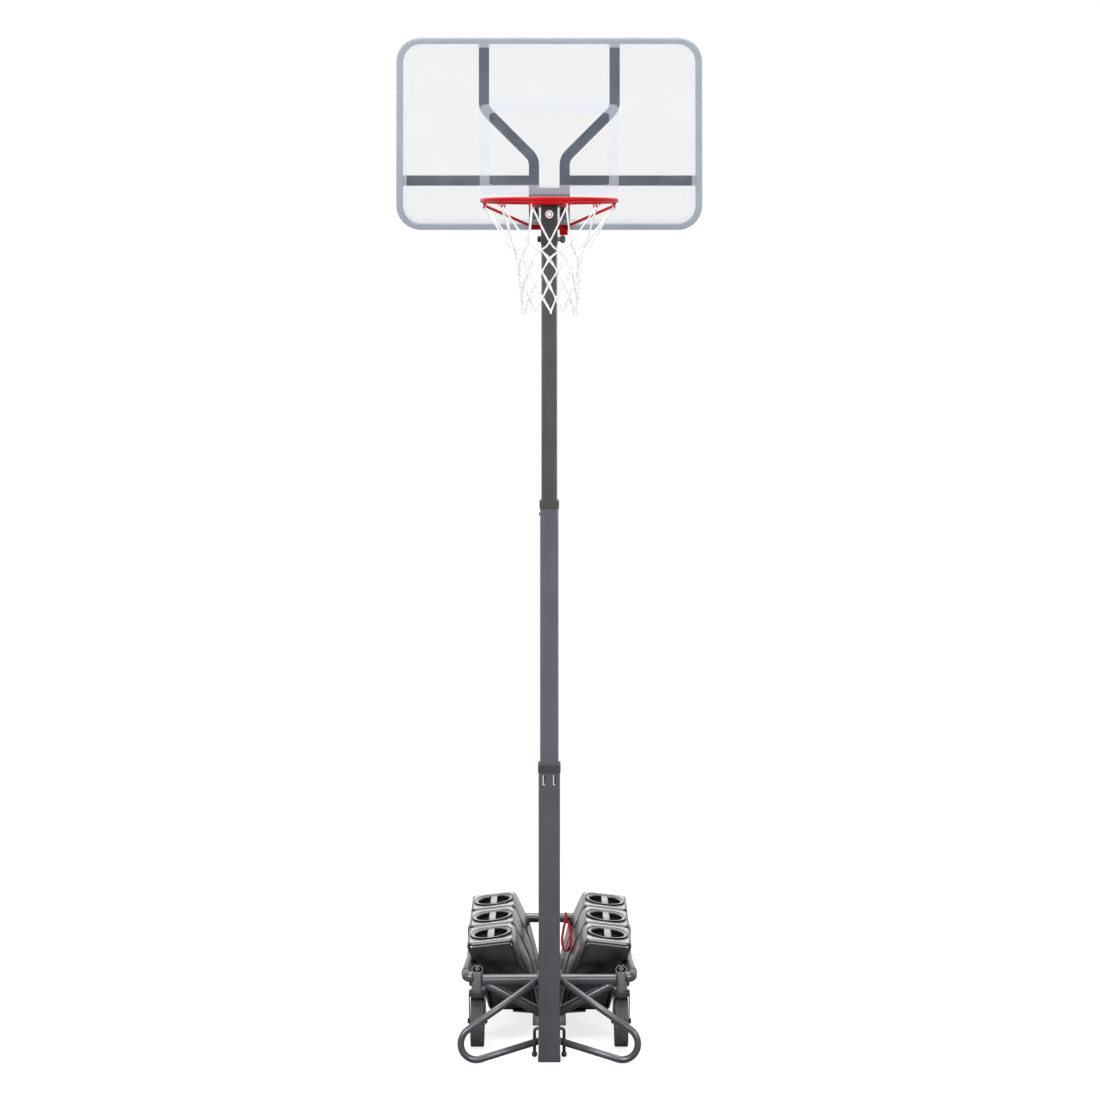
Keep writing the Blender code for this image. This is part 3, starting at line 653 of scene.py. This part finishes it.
def lid(side, side_name, number, place_name):
    """A screw lid: raised rim, deep dish and a grip bar with round edges."""
    place = cap_place(side, number)
    body = f"filler_lid_{side_name}_{place_name}"
    bm = bmesh.new()
    turned(
        bm,
        (
            (0.0, -0.0214),
            (0.0740, -0.0214),
            (0.0748, -0.0195),
            (0.0748, 0.0018),
            (0.0735, 0.0031),
            (0.0700, 0.0031),
            (0.0688, 0.0018),
            (0.0640, 0.0018),
            (0.0615, 0.0006),
            (0.0605, -0.0020),
            (0.0600, -0.0138),
            (0.0, -0.0138),
        ),
        72,
        place,
    )
    dish = add_mesh(f"lid_dish_{side_name}_{place_name}", bm)
    finished(dish, body, "tank_plastic", body, material="lid_plastic")
    # The inside of the dish takes the near-black material: painted shade in the recess.
    dish.data.materials.append(MATERIALS["painted_shade_black"])
    inverse = place.inverted()
    for polygon in dish.data.polygons:
        local = inverse @ polygon.center
        flat = (local.x**2 + local.y**2) ** 0.5
        if flat < LID_DISH_RADIUS and local.z > -0.016:
            polygon.material_index = 1
    bm = bmesh.new()
    add_box(bm, (0.027, 0.1206, 0.0150), Matrix.Translation((0, 0, -0.0060)))
    edges = list(bm.edges)
    bmesh.ops.bevel(bm, geom=edges, offset=0.0022, segments=3, profile=0.5, affect="EDGES")
    bm.transform(place)
    bar = add_mesh(f"lid_bar_{side_name}_{place_name}", bm)
    finished(bar, body, "tank_plastic", material="lid_plastic")


RAIL_FRONT_X, RAIL_FRONT_Z = 0.2985, 0.2580


def rails():
    """Rails that sweep in to the caster sleeves at the front, with round plugs at the back."""
    for side, name in SIDES:
        front_x, back_x = side * RAIL_FRONT_X, side * RAIL_X
        bend = (
            (side * 0.2775, HINGE_Y, RAIL_FRONT_Z),
            (front_x, HINGE_Y, RAIL_FRONT_Z),
            (front_x, 0.165, RAIL_FRONT_Z),
        )
        sweep = (
            (front_x, 0.165, RAIL_FRONT_Z),
            (front_x, 0.205, RAIL_FRONT_Z),
            (back_x, 0.400, RAIL_Z),
            (back_x, 1.050, RAIL_Z),
        )
        path = rounded_path(bend, 0.0195, 10) + rounded_path(sweep, 0.250, 6)[1:]
        made = tube(f"rail_tube_{name}", path, 0.0189, resolution=8)
        finished(made, "base", "grey_painted_steel", f"side_rail_{name}")
        bm = bmesh.new()
        profile = ((0.0, 0.004), (0.012, 0.0036), (0.0176, 0.0020), (0.0188, 0.0))
        profile += ((0.0188, -0.0030), (0.0, -0.0030))
        turned(bm, profile, 40, aimed((back_x, 1.0490, RAIL_Z), (back_x, 2.0, RAIL_Z)))
        finished(add_mesh(f"rail_plug_{name}", bm), "base", "black_plastic")
        bm = bmesh.new()
        clip = ((0.0190, -0.010), (0.0208, -0.008), (0.0208, 0.008), (0.0190, 0.010))
        for x, y, z in ((front_x, 0.172, RAIL_FRONT_Z), (back_x, 1.000, RAIL_Z)):
            turned(bm, clip, 36, aimed((x, y, z), (x, 9.0, z)))
        finished(add_mesh(f"rail_clips_{name}", bm), "base", "black_plastic")


def weld_bead(bm, centre, axis, radius, thickness):
    """A thin rippled ring where two tubes meet."""
    matrix = aimed(centre, Vector(centre) + Vector(axis))
    steps, sides = 48, 6
    rings = []
    for k in range(sides):
        turn = 2 * pi * k / sides
        ring = []
        for step in range(steps):
            angle = 2 * pi * step / steps
            swell = thickness * (1 + 0.18 * sin(angle * 15 + k))
            r = radius + swell * cos(turn)
            point = Vector((r * cos(angle), r * sin(angle), swell * sin(turn)))
            ring.append(bm.verts.new(matrix @ point))
        rings.append(ring)
    for k, ring in enumerate(rings):
        other = rings[(k + 1) % sides]
        for step in range(steps):
            after = (step + 1) % steps
            bm.faces.new((ring[step], ring[after], other[after], other[step]))


def base_welds():
    bm = bmesh.new()
    for side, _ in SIDES:
        weld_bead(bm, (side * 0.2405, HINGE_Y, 0.248), (1, 0, 0), 0.0196, 0.0016)
        weld_bead(bm, (side * 0.2680, REAR_BAR_Y, REAR_BAR_Z), (1, 0, 0), 0.0182, 0.0014)
    finished(add_mesh("base_welds", bm), "base", "grey_painted_steel")


SLEEVE_SLOPE = 22.5
SLEEVE = (
    (0.0103, 0.2095),
    (0.0193, 0.2095),
    (0.0205, 0.2107),
    (0.0205, 0.33),
    (0.0184, 0.33),
    (0.0184, 0.2440),
    (0.0103, 0.2440),
)
# A near-black tube inside each sleeve: painted shade in the sleeve's mouth.
SHADE_TUBE = ((0.0158, 0.2450), (0.0182, 0.2450), (0.0182, 0.33), (0.0158, 0.33))
KING_NUT = (
    (0.0, 0.2565),
    (0.0092, 0.2565),
    (0.0100, 0.2575),
    (0.0100, 0.2873),
    (0.0088, 0.2885),
    (0.0, 0.2885),
)
KING_PIN = ((0.0, 0.2886), (0.0060, 0.2886), (0.0060, 0.2922), (0.0050, 0.2932), (0.0, 0.2932))


def slanted_tube(name, x, profile, height):
    """A tube about the caster's swivel line whose top is cut on a slope."""
    bm = bmesh.new()
    turned(bm, profile, 56, Matrix.Translation((x, HINGE_Y, 0.0)))
    obj = add_mesh(name, bm)
    tilt = Matrix.Rotation(radians(SLEEVE_SLOPE), 4, "X")
    slope = Matrix.Translation((x, HINGE_Y, height)) @ tilt
    bm = bmesh.new()
    add_box(bm, (0.1, 0.1, 0.06), slope @ Matrix.Translation((0, 0, 0.03)))
    return carved(obj, add_mesh("slope_cutter", bm), soft=0.0008)


def caster_sleeves():
    """Steel sleeves with sloping tops, a near-black tube of painted shade in each, and the
    casters' nuts.
    """
    for side, name in SIDES:
        x = side * SLEEVE_X
        sleeve = slanted_tube(f"sleeve_{name}", x, SLEEVE, 0.2862)
        stands_for = f"caster_sleeve_{name}"
        finished(sleeve, "base", "grey_painted_steel", stands_for, material="sleeve_grey")
        # Painted shade: a near-black tube inside the sleeve.
        shade_tube = slanted_tube(f"sleeve_shade_tube_{name}", x, SHADE_TUBE, 0.2846)
        finished(shade_tube, "base", "black_plastic", material="painted_shade_black")
        bm = bmesh.new()
        place = Matrix.Translation((x, HINGE_Y, 0.0))
        turned(bm, KING_NUT, 6, place)
        turned(bm, KING_PIN, 24, place)
        nut = add_mesh(f"caster_nut_{name}", bm)
        finished(nut, f"caster_{name}", "black_painted_steel", material="bright_steel")


TYRE_HALF = (
    (0.0655, 0.0190),
    (0.0680, 0.0232),
    (0.0760, 0.0247),
    (0.0850, 0.0244),
    (0.0882, 0.0235),
    (0.0896, 0.0215),
    (0.0899, 0.0170),
    (0.0899, 0.0130),
    (0.0888, 0.0122),
    (0.0888, 0.0104),
    (0.0900, 0.0096),
    (0.0900, 0.0040),
    (0.0889, 0.0032),
    (0.0889, 0.0004),
)
HUB_HALF = (
    (0.0070, 0.0246),
    (0.0170, 0.0246),
    (0.0190, 0.0225),
    (0.0200, 0.0120),
    (0.0230, 0.0095),
    (0.0540, 0.0095),
    (0.0590, 0.0125),
    (0.0610, 0.0205),
    (0.0640, 0.0212),
    (0.0653, 0.0190),
)
SPOKES = 6


def both_sides(half):
    """A (radius, width) profile followed by its mirror image."""
    return half + tuple((radius, -width) for radius, width in reversed(half))


def wheel(name, centre, body):
    """A tyre with a grooved tread on a dished and ribbed hub."""
    x, y, z = centre
    stand = aimed(centre, (x + 1.0, y, z))
    bm = bmesh.new()
    turned(bm, both_sides(TYRE_HALF), 80, stand)
    finished(add_mesh(f"tyre_{name}", bm), body, "wheel_rubber", name)
    bm = bmesh.new()
    turned(bm, both_sides(HUB_HALF), 64, stand)
    for face in (-1, 1):
        for number in range(SPOKES):
            turn = Matrix.Rotation(radians(360 / SPOKES * number + 15), 4, "Z")
            out = Matrix.Translation((0.0395, 0, face * 0.0125))
            add_box(bm, (0.0400, 0.0050, 0.0080), stand @ turn @ out)
    finished(add_mesh(f"hub_{name}", bm), body, "wheel_rubber", material="hub_plastic")


def casters():
    for side, name in SIDES:
        x = side * SLEEVE_X
        front, rear = f"front_wheel_{name}", f"rear_wheel_{name}"
        wheel(front, (x, HINGE_Y + CASTER_TRAIL, 0.091), front)
        wheel(rear, (side * RAIL_X, 0.950, 0.090), rear)
        bm = bmesh.new()
        profile = ((0.0200, -0.0012), (0.0300, -0.0006), (0.0300, 0.0006), (0.0200, 0.0012))
        turned(bm, profile, 40, aimed((x, HINGE_Y, 0.2085), (x, HINGE_Y, 1.0)))
        washer = add_mesh(f"swivel_washer_{name}", bm)
        finished(washer, f"caster_{name}", "black_painted_steel", material="bright_steel")


WEBBING_HALF_WIDTH, WEBBING_HALF_THICKNESS = 0.0052, 0.0007


def strap():
    """Flat webbing looped round the rear bar that lies forward between the tanks."""
    y, z, r = REAR_BAR_Y, REAR_BAR_Z, 0.0205
    path = smooth_path(
        [
            (0.066, y + r, z),
            (0.066, y + r * 0.72, z + r * 0.72),
            (0.066, y, z + r),
            (0.066, y - r * 0.75, z + r * 0.80),
            (0.062, 0.930, 0.2521),
            (0.0541, 0.840, 0.2399),
            (0.0496, 0.720, 0.2360),
            (0.0533, 0.620, 0.2316),
            (0.0640, 0.552, 0.2360),
            (0.0757, 0.520, 0.2576),
            (0.0817, 0.560, 0.2734),
            (0.0804, 0.680, 0.2767),
            (0.0740, 0.860, 0.2696),
            (0.0690, 0.960, 0.2480),
            (0.066, y - r * 0.95, z - r * 0.80),
            (0.066, y, z - r),
            (0.066, y + r * 0.75, z - r * 0.75),
        ],
        5,
        closed=True,
    )
    bm = bmesh.new()
    rings = []
    count = len(path)
    for index, point in enumerate(path):
        along = (path[(index + 1) % count] - path[index - 1]).normalized()
        across = Vector((1, 0, 0.10))
        across = (across - along * across.dot(along)).normalized()
        up = along.cross(across)
        across, up = across * WEBBING_HALF_WIDTH, up * WEBBING_HALF_THICKNESS
        ring = [point + across * a + up * b for a, b in ((1, 1), (-1, 1), (-1, -1), (1, -1))]
        rings.append([bm.verts.new(place) for place in ring])
    for index in range(count):
        first, second = rings[index], rings[(index + 1) % count]
        for k in range(4):
            bm.faces.new((first[k], first[(k + 1) % 4], second[(k + 1) % 4], second[k]))
    finished(add_mesh("strap_webbing", bm), "base", "red_webbing", "tie_strap")


# ---------------------------------------------------------------- pole pieces


def loops():
    """Tubes bent once on a wide arc, with weld beads at the pole."""
    bm = bmesh.new()
    for side, name in SIDES:
        corner = (side * 0.5847, -0.111, -0.0717)
        high, low = (side * 0.0380, -0.0035, 0.2804), (side * 0.0380, -0.0035, 0.0650)
        path = rounded_path((high, corner, low), 0.0585, 36)
        rod = tube(f"loop_rod_{name}", path, 0.0121, resolution=8)
        trim = bmesh.new()
        add_box(trim, (0.0780, 0.2, 1.0))
        rod = carved(rod, add_mesh("trim", trim))
        finished(rod, "pole_foot", "grey_painted_steel", f"loop_{name}")
        weld_bead(bm, (side * 0.0404, -0.0036, 0.2794), (side, 0.0, 0.0), 0.0128, 0.0012)
        weld_bead(bm, (side * 0.0404, -0.0038, 0.0646), (side, 0.0, 0.0), 0.0122, 0.0012)
    finished(add_mesh("loop_welds", bm), "pole_foot", "grey_painted_steel")


KNOB_X, KNOB_Z = 0.0570, 2.921
KNOB_LOBES = 5
KNOB_LEVELS = (
    (0.0, 0.42),
    (0.0012, 0.66),
    (0.0036, 0.86),
    (0.0070, 0.98),
    (0.0120, 1.0),
    (0.0160, 0.86),
    (0.0185, 0.62),
)
KNOB_BOLT = (
    (0.0, 0.1000),
    (0.0030, 0.1000),
    (0.0042, 0.0985),
    (0.0042, 0.0262),
    (0.0080, 0.0262),
    (0.0088, 0.0170),
    (0.0, 0.0170),
)


def build_knob():
    """A lobed clamp knob with a domed centre, and its cross bolt."""
    bm = bmesh.new()
    steps = 80
    rings = []
    for depth, scale in KNOB_LEVELS:
        ring = []
        for step in range(steps):
            angle = 2 * pi * step / steps
            radius = (0.0132 + 0.0016 * cos(KNOB_LOBES * angle)) * scale
            y, z = radius * cos(angle), KNOB_Z + radius * sin(angle)
            ring.append(bm.verts.new((KNOB_X + 0.0012 - depth, y, z)))
        rings.append(ring)
    for first, second in zip(rings, rings[1:]):
        for step in range(steps):
            after = (step + 1) % steps
            bm.faces.new((first[step], first[after], second[after], second[step]))
    bm.faces.new(rings[0][::-1])
    bm.faces.new(rings[-1])
    finished(add_mesh("knob_grip", bm), "clamp_knob", "black_plastic", "clamp_knob")
    bm = bmesh.new()
    turned(bm, KNOB_BOLT, 32, aimed((KNOB_X, 0, KNOB_Z), (-1, 0, KNOB_Z)))
    bolt = add_mesh("knob_bolt", bm)
    finished(bolt, "clamp_knob", "black_plastic", material="bright_steel")


def button():
    bm = bmesh.new()
    profile = ((0.0, 0.0067), (0.0020, 0.0065), (0.0040, 0.0056), (0.0054, 0.0040))
    profile += ((0.0058, 0.0022), (0.0058, 0.0), (0.0, 0.0))
    turned(bm, profile, 32, aimed((-0.0309, 0, 1.937), (-1, 0, 1.937)))
    dome = add_mesh("button_dome", bm)
    finished(dome, "lock_button", "black_painted_steel", "lock_button")


# ---------------------------------------------------------------- board, ring and net


def rim():
    """The round tube that frames the panel."""
    outline = []
    corner = 0.0775
    half = BOARD_HALF - RIM_INSET - corner
    low, high = BOARD_LOW + RIM_INSET + corner, BOARD_HIGH - RIM_INSET - corner
    for cx, cz, first in ((half, high, 0), (-half, high, 90), (-half, low, 180), (half, low, 270)):
        for step in range(13):
            angle = radians(first + 90 * step / 12)
            outline.append(Vector((cx + corner * cos(angle), 0.0769, cz + corner * sin(angle))))
    frame_tube = tube("rim_frame", outline, RIM_RADIUS, closed=True)
    finished(frame_tube, "upper_section", "board_frame_aluminium", "rim_tube")


def round_the_ring(number):
    """The frame at the ring's centre that is turned to one of the net's hooks."""
    turn = Matrix.Rotation(radians(FIRST_CORD + CORD_STEP * number), 4, "Z")
    return Matrix.Translation((RING[0], RING[1], 0)) @ turn


def ring_and_hooks():
    x, y, z = RING
    path = []
    for step in range(128):
        angle = 2 * pi * step / 128
        path.append(Vector((x + RING_RADIUS * cos(angle), y + RING_RADIUS * sin(angle), z)))
    rod = tube("ring_rod", path, 0.0080, closed=True)
    finished(rod, "upper_section", "red_painted_steel", "ring")
    top = z - 0.0068
    half = ((-0.0112, top), (-0.0108, top - 0.008), (-0.0060, top - 0.0155))
    shape = half + ((0.0, top - 0.0172),) + tuple((-u, v) for u, v in reversed(half))
    hook = smooth_path([Vector((RING_RADIUS, u, v)) for u, v in shape], 4)
    lines = []
    for number in range(CORDS):
        lines.append([round_the_ring(number) @ point for point in hook])
    hooks = tube("ring_hooks", lines, 0.0024, resolution=3)
    finished(hooks, "upper_section", "red_painted_steel")


# Radius and height of each row of crossings, from the hooks down.
NET_ROWS = (
    (0.2320, 3.0295),
    (0.1480, 2.9080),
    (0.1230, 2.8780),
    (0.1120, 2.8500),
    (0.1050, 2.8060),
    (0.1010, 2.7620),
    (0.0985, 2.7140),
    (0.0970, 2.6640),
)


def net_node(number, row, jitter):
    """The crossing of one row of the net, every other row half a step round."""
    radius, height = NET_ROWS[row]
    shift = jitter.get((number % CORDS, row), (0.0, 0.0, 0.0))
    offset = CORD_STEP / 2 if row % 2 else 0
    angle = radians(FIRST_CORD + CORD_STEP * number + offset) + shift[0]
    radius += shift[1]
    x, y = RING[0] + radius * cos(angle), RING[1] + radius * sin(angle)
    return Vector((x, y, height + shift[2]))


def net():
    """A knotted cord net: two crossing families of cord, with a knot where they cross."""
    jitter = {}
    for number in range(CORDS):
        for row in range(1, len(NET_ROWS)):
            loose = 0.3 + 0.12 * row
            jitter[(number, row)] = (
                random.uniform(-0.05, 0.05) * loose,
                random.uniform(-0.004, 0.004) * loose,
                random.uniform(-0.006, 0.003) * loose,
            )
    lines, knots = [], bmesh.new()
    for number in range(CORDS):
        for direction in (0, 1):
            points = []
            index = number
            for row in range(len(NET_ROWS)):
                if row and direction == 0:
                    index += 0 if row % 2 else 1
                elif row:
                    index -= 1 if row % 2 else 0
                node = net_node(index, row, jitter)
                outward = Vector((node.x - RING[0], node.y - RING[1], 0)).normalized()
                points.append(node + outward * (0.0011 if direction else -0.0011))
            lines.append(smooth_path(points, 5))
    size = Matrix.Diagonal((0.0046, 0.0046, 0.0058, 1.0))
    for number in range(CORDS):
        for row in range(1, len(NET_ROWS)):
            place = Matrix.Translation(net_node(number, row, jitter)) @ size
            bmesh.ops.create_uvsphere(
                knots, u_segments=10, v_segments=8, radius=1.0, matrix=place
            )
    cords = tube("net_cords", lines, 0.0025, resolution=2)
    finished(cords, "upper_section", "white_cord", "net")
    finished(add_mesh("net_knots", knots), "upper_section", "white_cord")
    loop = []
    for step in range(12):
        angle = 2 * pi * step / 12
        x, z = RING_RADIUS + 0.0052 * cos(angle), RING[2] - 0.0238 + 0.0068 * sin(angle)
        loop.append(Vector((x, 0.0, z)))
    ties = []
    for number in range(CORDS):
        ties.append([round_the_ring(number) @ point for point in loop])
    tie = tube("net_ties", ties, 0.0024, closed=True, resolution=2)
    finished(tie, "upper_section", "white_cord")


def slot_lips():
    """A bright bent lip in each of the two slots near the top of the lower pole."""
    bm = bmesh.new()
    low, step, high = 0.9772, 0.9812, 1.0128
    for x in (-0.0185, 0.0185):
        left, right, foot = x - 0.0050, x - 0.0014, x + 0.0022
        outline = ((left, low), (foot, low), (foot, step), (right, step))
        outline += ((right, high), (left, high))
        front = [bm.verts.new((px, -0.0394, pz)) for px, pz in outline]
        back = [bm.verts.new((px, -0.0368, pz)) for px, pz in outline]
        bm.faces.new(front)
        bm.faces.new(reversed(back))
        for i in range(len(outline)):
            j = (i + 1) % len(outline)
            bm.faces.new((front[i], front[j], back[j], back[i]))
    obj = add_mesh("slot_lips", bm)
    soften(obj, 0.0005, 30)
    finished(apply_modifiers(obj), "pole_foot", "grey_painted_steel", material="slot_pale_grey")


def bolt_caps():
    """Washers at the panel bolts."""
    bm = bmesh.new()
    for side, _ in SIDES:
        place = aimed((side * 0.0555, 0.0593, 3.025), (side * 0.0555, -1, 3.025))
        turned(bm, ((0.0096, 0.0), (0.0118, 0.0), (0.0118, 0.0010), (0.0096, 0.0014)), 36, place)
    finished(add_mesh("panel_washers", bm), "upper_section", "black_painted_steel")


# ---------------------------------------------------------------- studio


def sweep_floor():
    """A pale floor that curves up behind, white far off and a little self-lit near by."""
    bm = bmesh.new()
    line = [(-30.0, 0.0), (10.0, 0.0)]
    line += [(10.0 + 8.0 * sin(radians(a)), 8.0 - 8.0 * cos(radians(a))) for a in range(6, 91, 6)]
    line += [(18.0, 40.0)]
    rows = [[bm.verts.new((x, y, z)) for x in (-40.0, 40.0)] for y, z in line]
    for first, second in zip(rows, rows[1:]):
        bm.faces.new((first[0], first[1], second[1], second[0]))
    floor = add_mesh("floor", bm)
    g = Graph("floor")
    speck = g.noise(3.0, 6.0)
    shade_of_floor = g.mix(speck, (0.27, 0.27, 0.273), (0.29, 0.29, 0.29))
    near = g.shader(
        shade_of_floor,
        0.9,
        0.0,
        g.bump(speck, 0.02, 0.01),
        Emission_Color=(1.0, 1.0, 1.0),
        Emission_Strength=0.76,
    )
    dim = g.shader((0.20, 0.20, 0.20), 0.9)
    white = g.add("ShaderNodeEmission")
    white.inputs["Strength"].default_value = WHITE_BACKDROP
    seen = g.add("ShaderNodeLightPath").outputs["Is Camera Ray"]
    far = g.add("ShaderNodeVectorMath", operation="LENGTH")
    g.link(g.place, far.inputs[0])
    first = g.add("ShaderNodeMixShader")
    g.link(seen, first.inputs[0])
    g.link(dim, first.inputs[1])
    g.link(near, first.inputs[2])
    second = g.add("ShaderNodeMixShader")
    g.link(g.remap(far.outputs["Value"], 1.6, 4.0), second.inputs[0])
    g.link(first.outputs[0], second.inputs[1])
    g.link(white.outputs[0], second.inputs[2])
    g.done(second.outputs[0])
    floor.data.materials.append(MATERIALS["floor"])


def sky_light():
    """White to the camera. It lights from behind, from a front strip and from above."""
    world = bpy.data.worlds.new("studio")
    bpy.context.scene.world = world
    world.use_nodes = True
    tree = world.node_tree
    tree.nodes.clear()
    out = tree.nodes.new("ShaderNodeOutputWorld")
    back = tree.nodes.new("ShaderNodeBackground")
    place = tree.nodes.new("ShaderNodeTexCoord")
    split = tree.nodes.new("ShaderNodeSeparateXYZ")
    ramp = tree.nodes.new("ShaderNodeMapRange")
    path = tree.nodes.new("ShaderNodeLightPath")
    pick = tree.nodes.new("ShaderNodeMix")
    tree.links.new(place.outputs["Generated"], split.inputs[0])
    tree.links.new(split.outputs["Y"], ramp.inputs[0])
    for index, number in enumerate((-0.5, 0.8, 0.12, 3.0), 1):
        ramp.inputs[index].default_value = number

    def sky(operation, *values):
        node = tree.nodes.new("ShaderNodeMath")
        node.operation = operation
        for socket, value in zip(node.inputs, values):
            if isinstance(value, float):
                socket.default_value = value
            else:
                tree.links.new(value, socket)
        return node.outputs[0]

    def span(value, low, high):
        node = tree.nodes.new("ShaderNodeMapRange")
        tree.links.new(value, node.inputs[0])
        node.inputs[1].default_value = low
        node.inputs[2].default_value = high
        return node.outputs[0]

    up, glossy = split.outputs["Z"], path.outputs["Is Glossy Ray"]
    low_down = sky("SUBTRACT", 1.0, sky("MULTIPLY", span(up, 0.36, 0.52), 0.85))
    rear = sky("MULTIPLY", ramp.outputs[0], low_down)
    strip = sky("MULTIPLY", span(up, 0.30, 0.42), span(up, 0.74, 0.62))
    strip = sky("MULTIPLY", strip, span(split.outputs["Y"], -0.50, -0.62))
    softbox = sky("MULTIPLY", strip, sky("MULTIPLY_ADD", glossy, 4.5, 0.1))
    top = sky("MULTIPLY", span(up, 0.80, 0.95), sky("SUBTRACT", 1.0, glossy))
    softbox = sky("MULTIPLY_ADD", top, 1.2, softbox)
    total = sky("ADD", rear, softbox)
    tree.links.new(path.outputs["Is Camera Ray"], pick.inputs["Factor"])
    tree.links.new(total, pick.inputs["A"])
    pick.inputs["B"].default_value = WHITE_BACKDROP
    tree.links.new(pick.outputs[0], back.inputs["Strength"])
    back.inputs["Color"].default_value = (1.0, 1.0, 1.0, 1.0)
    tree.links.new(back.outputs[0], out.inputs[0])


def lamps():
    for name, place, aim, size, power in (
        ("key", (-5.0, -7.0, 5.0), (0.0, 0.0, 1.8), 2.5, 620.0),
        ("fill", (5.0, -7.0, 3.5), (0.0, 0.0, 1.6), 2.5, 420.0),
        ("top", (0.0, 1.0, 6.0), (0.0, 0.4, 0.3), 4.0, 360.0),
    ):
        light = bpy.data.lights.new(name, "AREA")
        light.size = size
        light.energy = power
        obj = bpy.data.objects.new(name, light)
        obj.location = place
        direction = Vector(aim) - Vector(place)
        obj.rotation_euler = direction.to_track_quat("-Z", "Y").to_euler()
        bpy.context.scene.collection.objects.link(obj)


def camera():
    """A long lens whose vertical shift works only at this place, so other views stay centred."""
    data = bpy.data.cameras.new("camera")
    obj = bpy.data.objects.new("camera", data)
    bpy.context.scene.collection.objects.link(obj)
    obj.location = (0.0, CAMERA_Y, 2.8225)
    obj.rotation_euler = (radians(90 + 1.612), 0.0, 0.0)
    data.sensor_width = 36.0
    data.lens = 36.0 * 2596.7 / 1100.0
    data.clip_end = 200.0
    data.shift_x = 0.00064
    driver = data.driver_add("shift_y").driver
    driver.type = "SCRIPTED"
    variable = driver.variables.new()
    variable.name = "y"
    variable.type = "TRANSFORMS"
    variable.targets[0].id = obj
    variable.targets[0].transform_type = "LOC_Y"
    variable.targets[0].transform_space = "WORLD_SPACE"
    driver.expression = f"-0.3241 if abs(y - {CAMERA_Y}) < 0.01 else 0.0"
    bpy.context.scene.camera = obj
    view = bpy.context.scene.view_settings
    view.view_transform = "Standard"
    view.look = "None"
    view.exposure = 0.0


# ---------------------------------------------------------------- build

dress_cad()
for side, side_name in SIDES:
    for number, place_name in enumerate(("front", "middle", "rear")):
        tank(side, side_name, number, place_name)
        lid(side, side_name, number, place_name)
rails()
base_welds()
casters()
caster_sleeves()
strap()
loops()
build_knob()
button()
rim()
ring_and_hooks()
net()
slot_lips()
bolt_caps()
sweep_floor()
sky_light()
lamps()
camera()
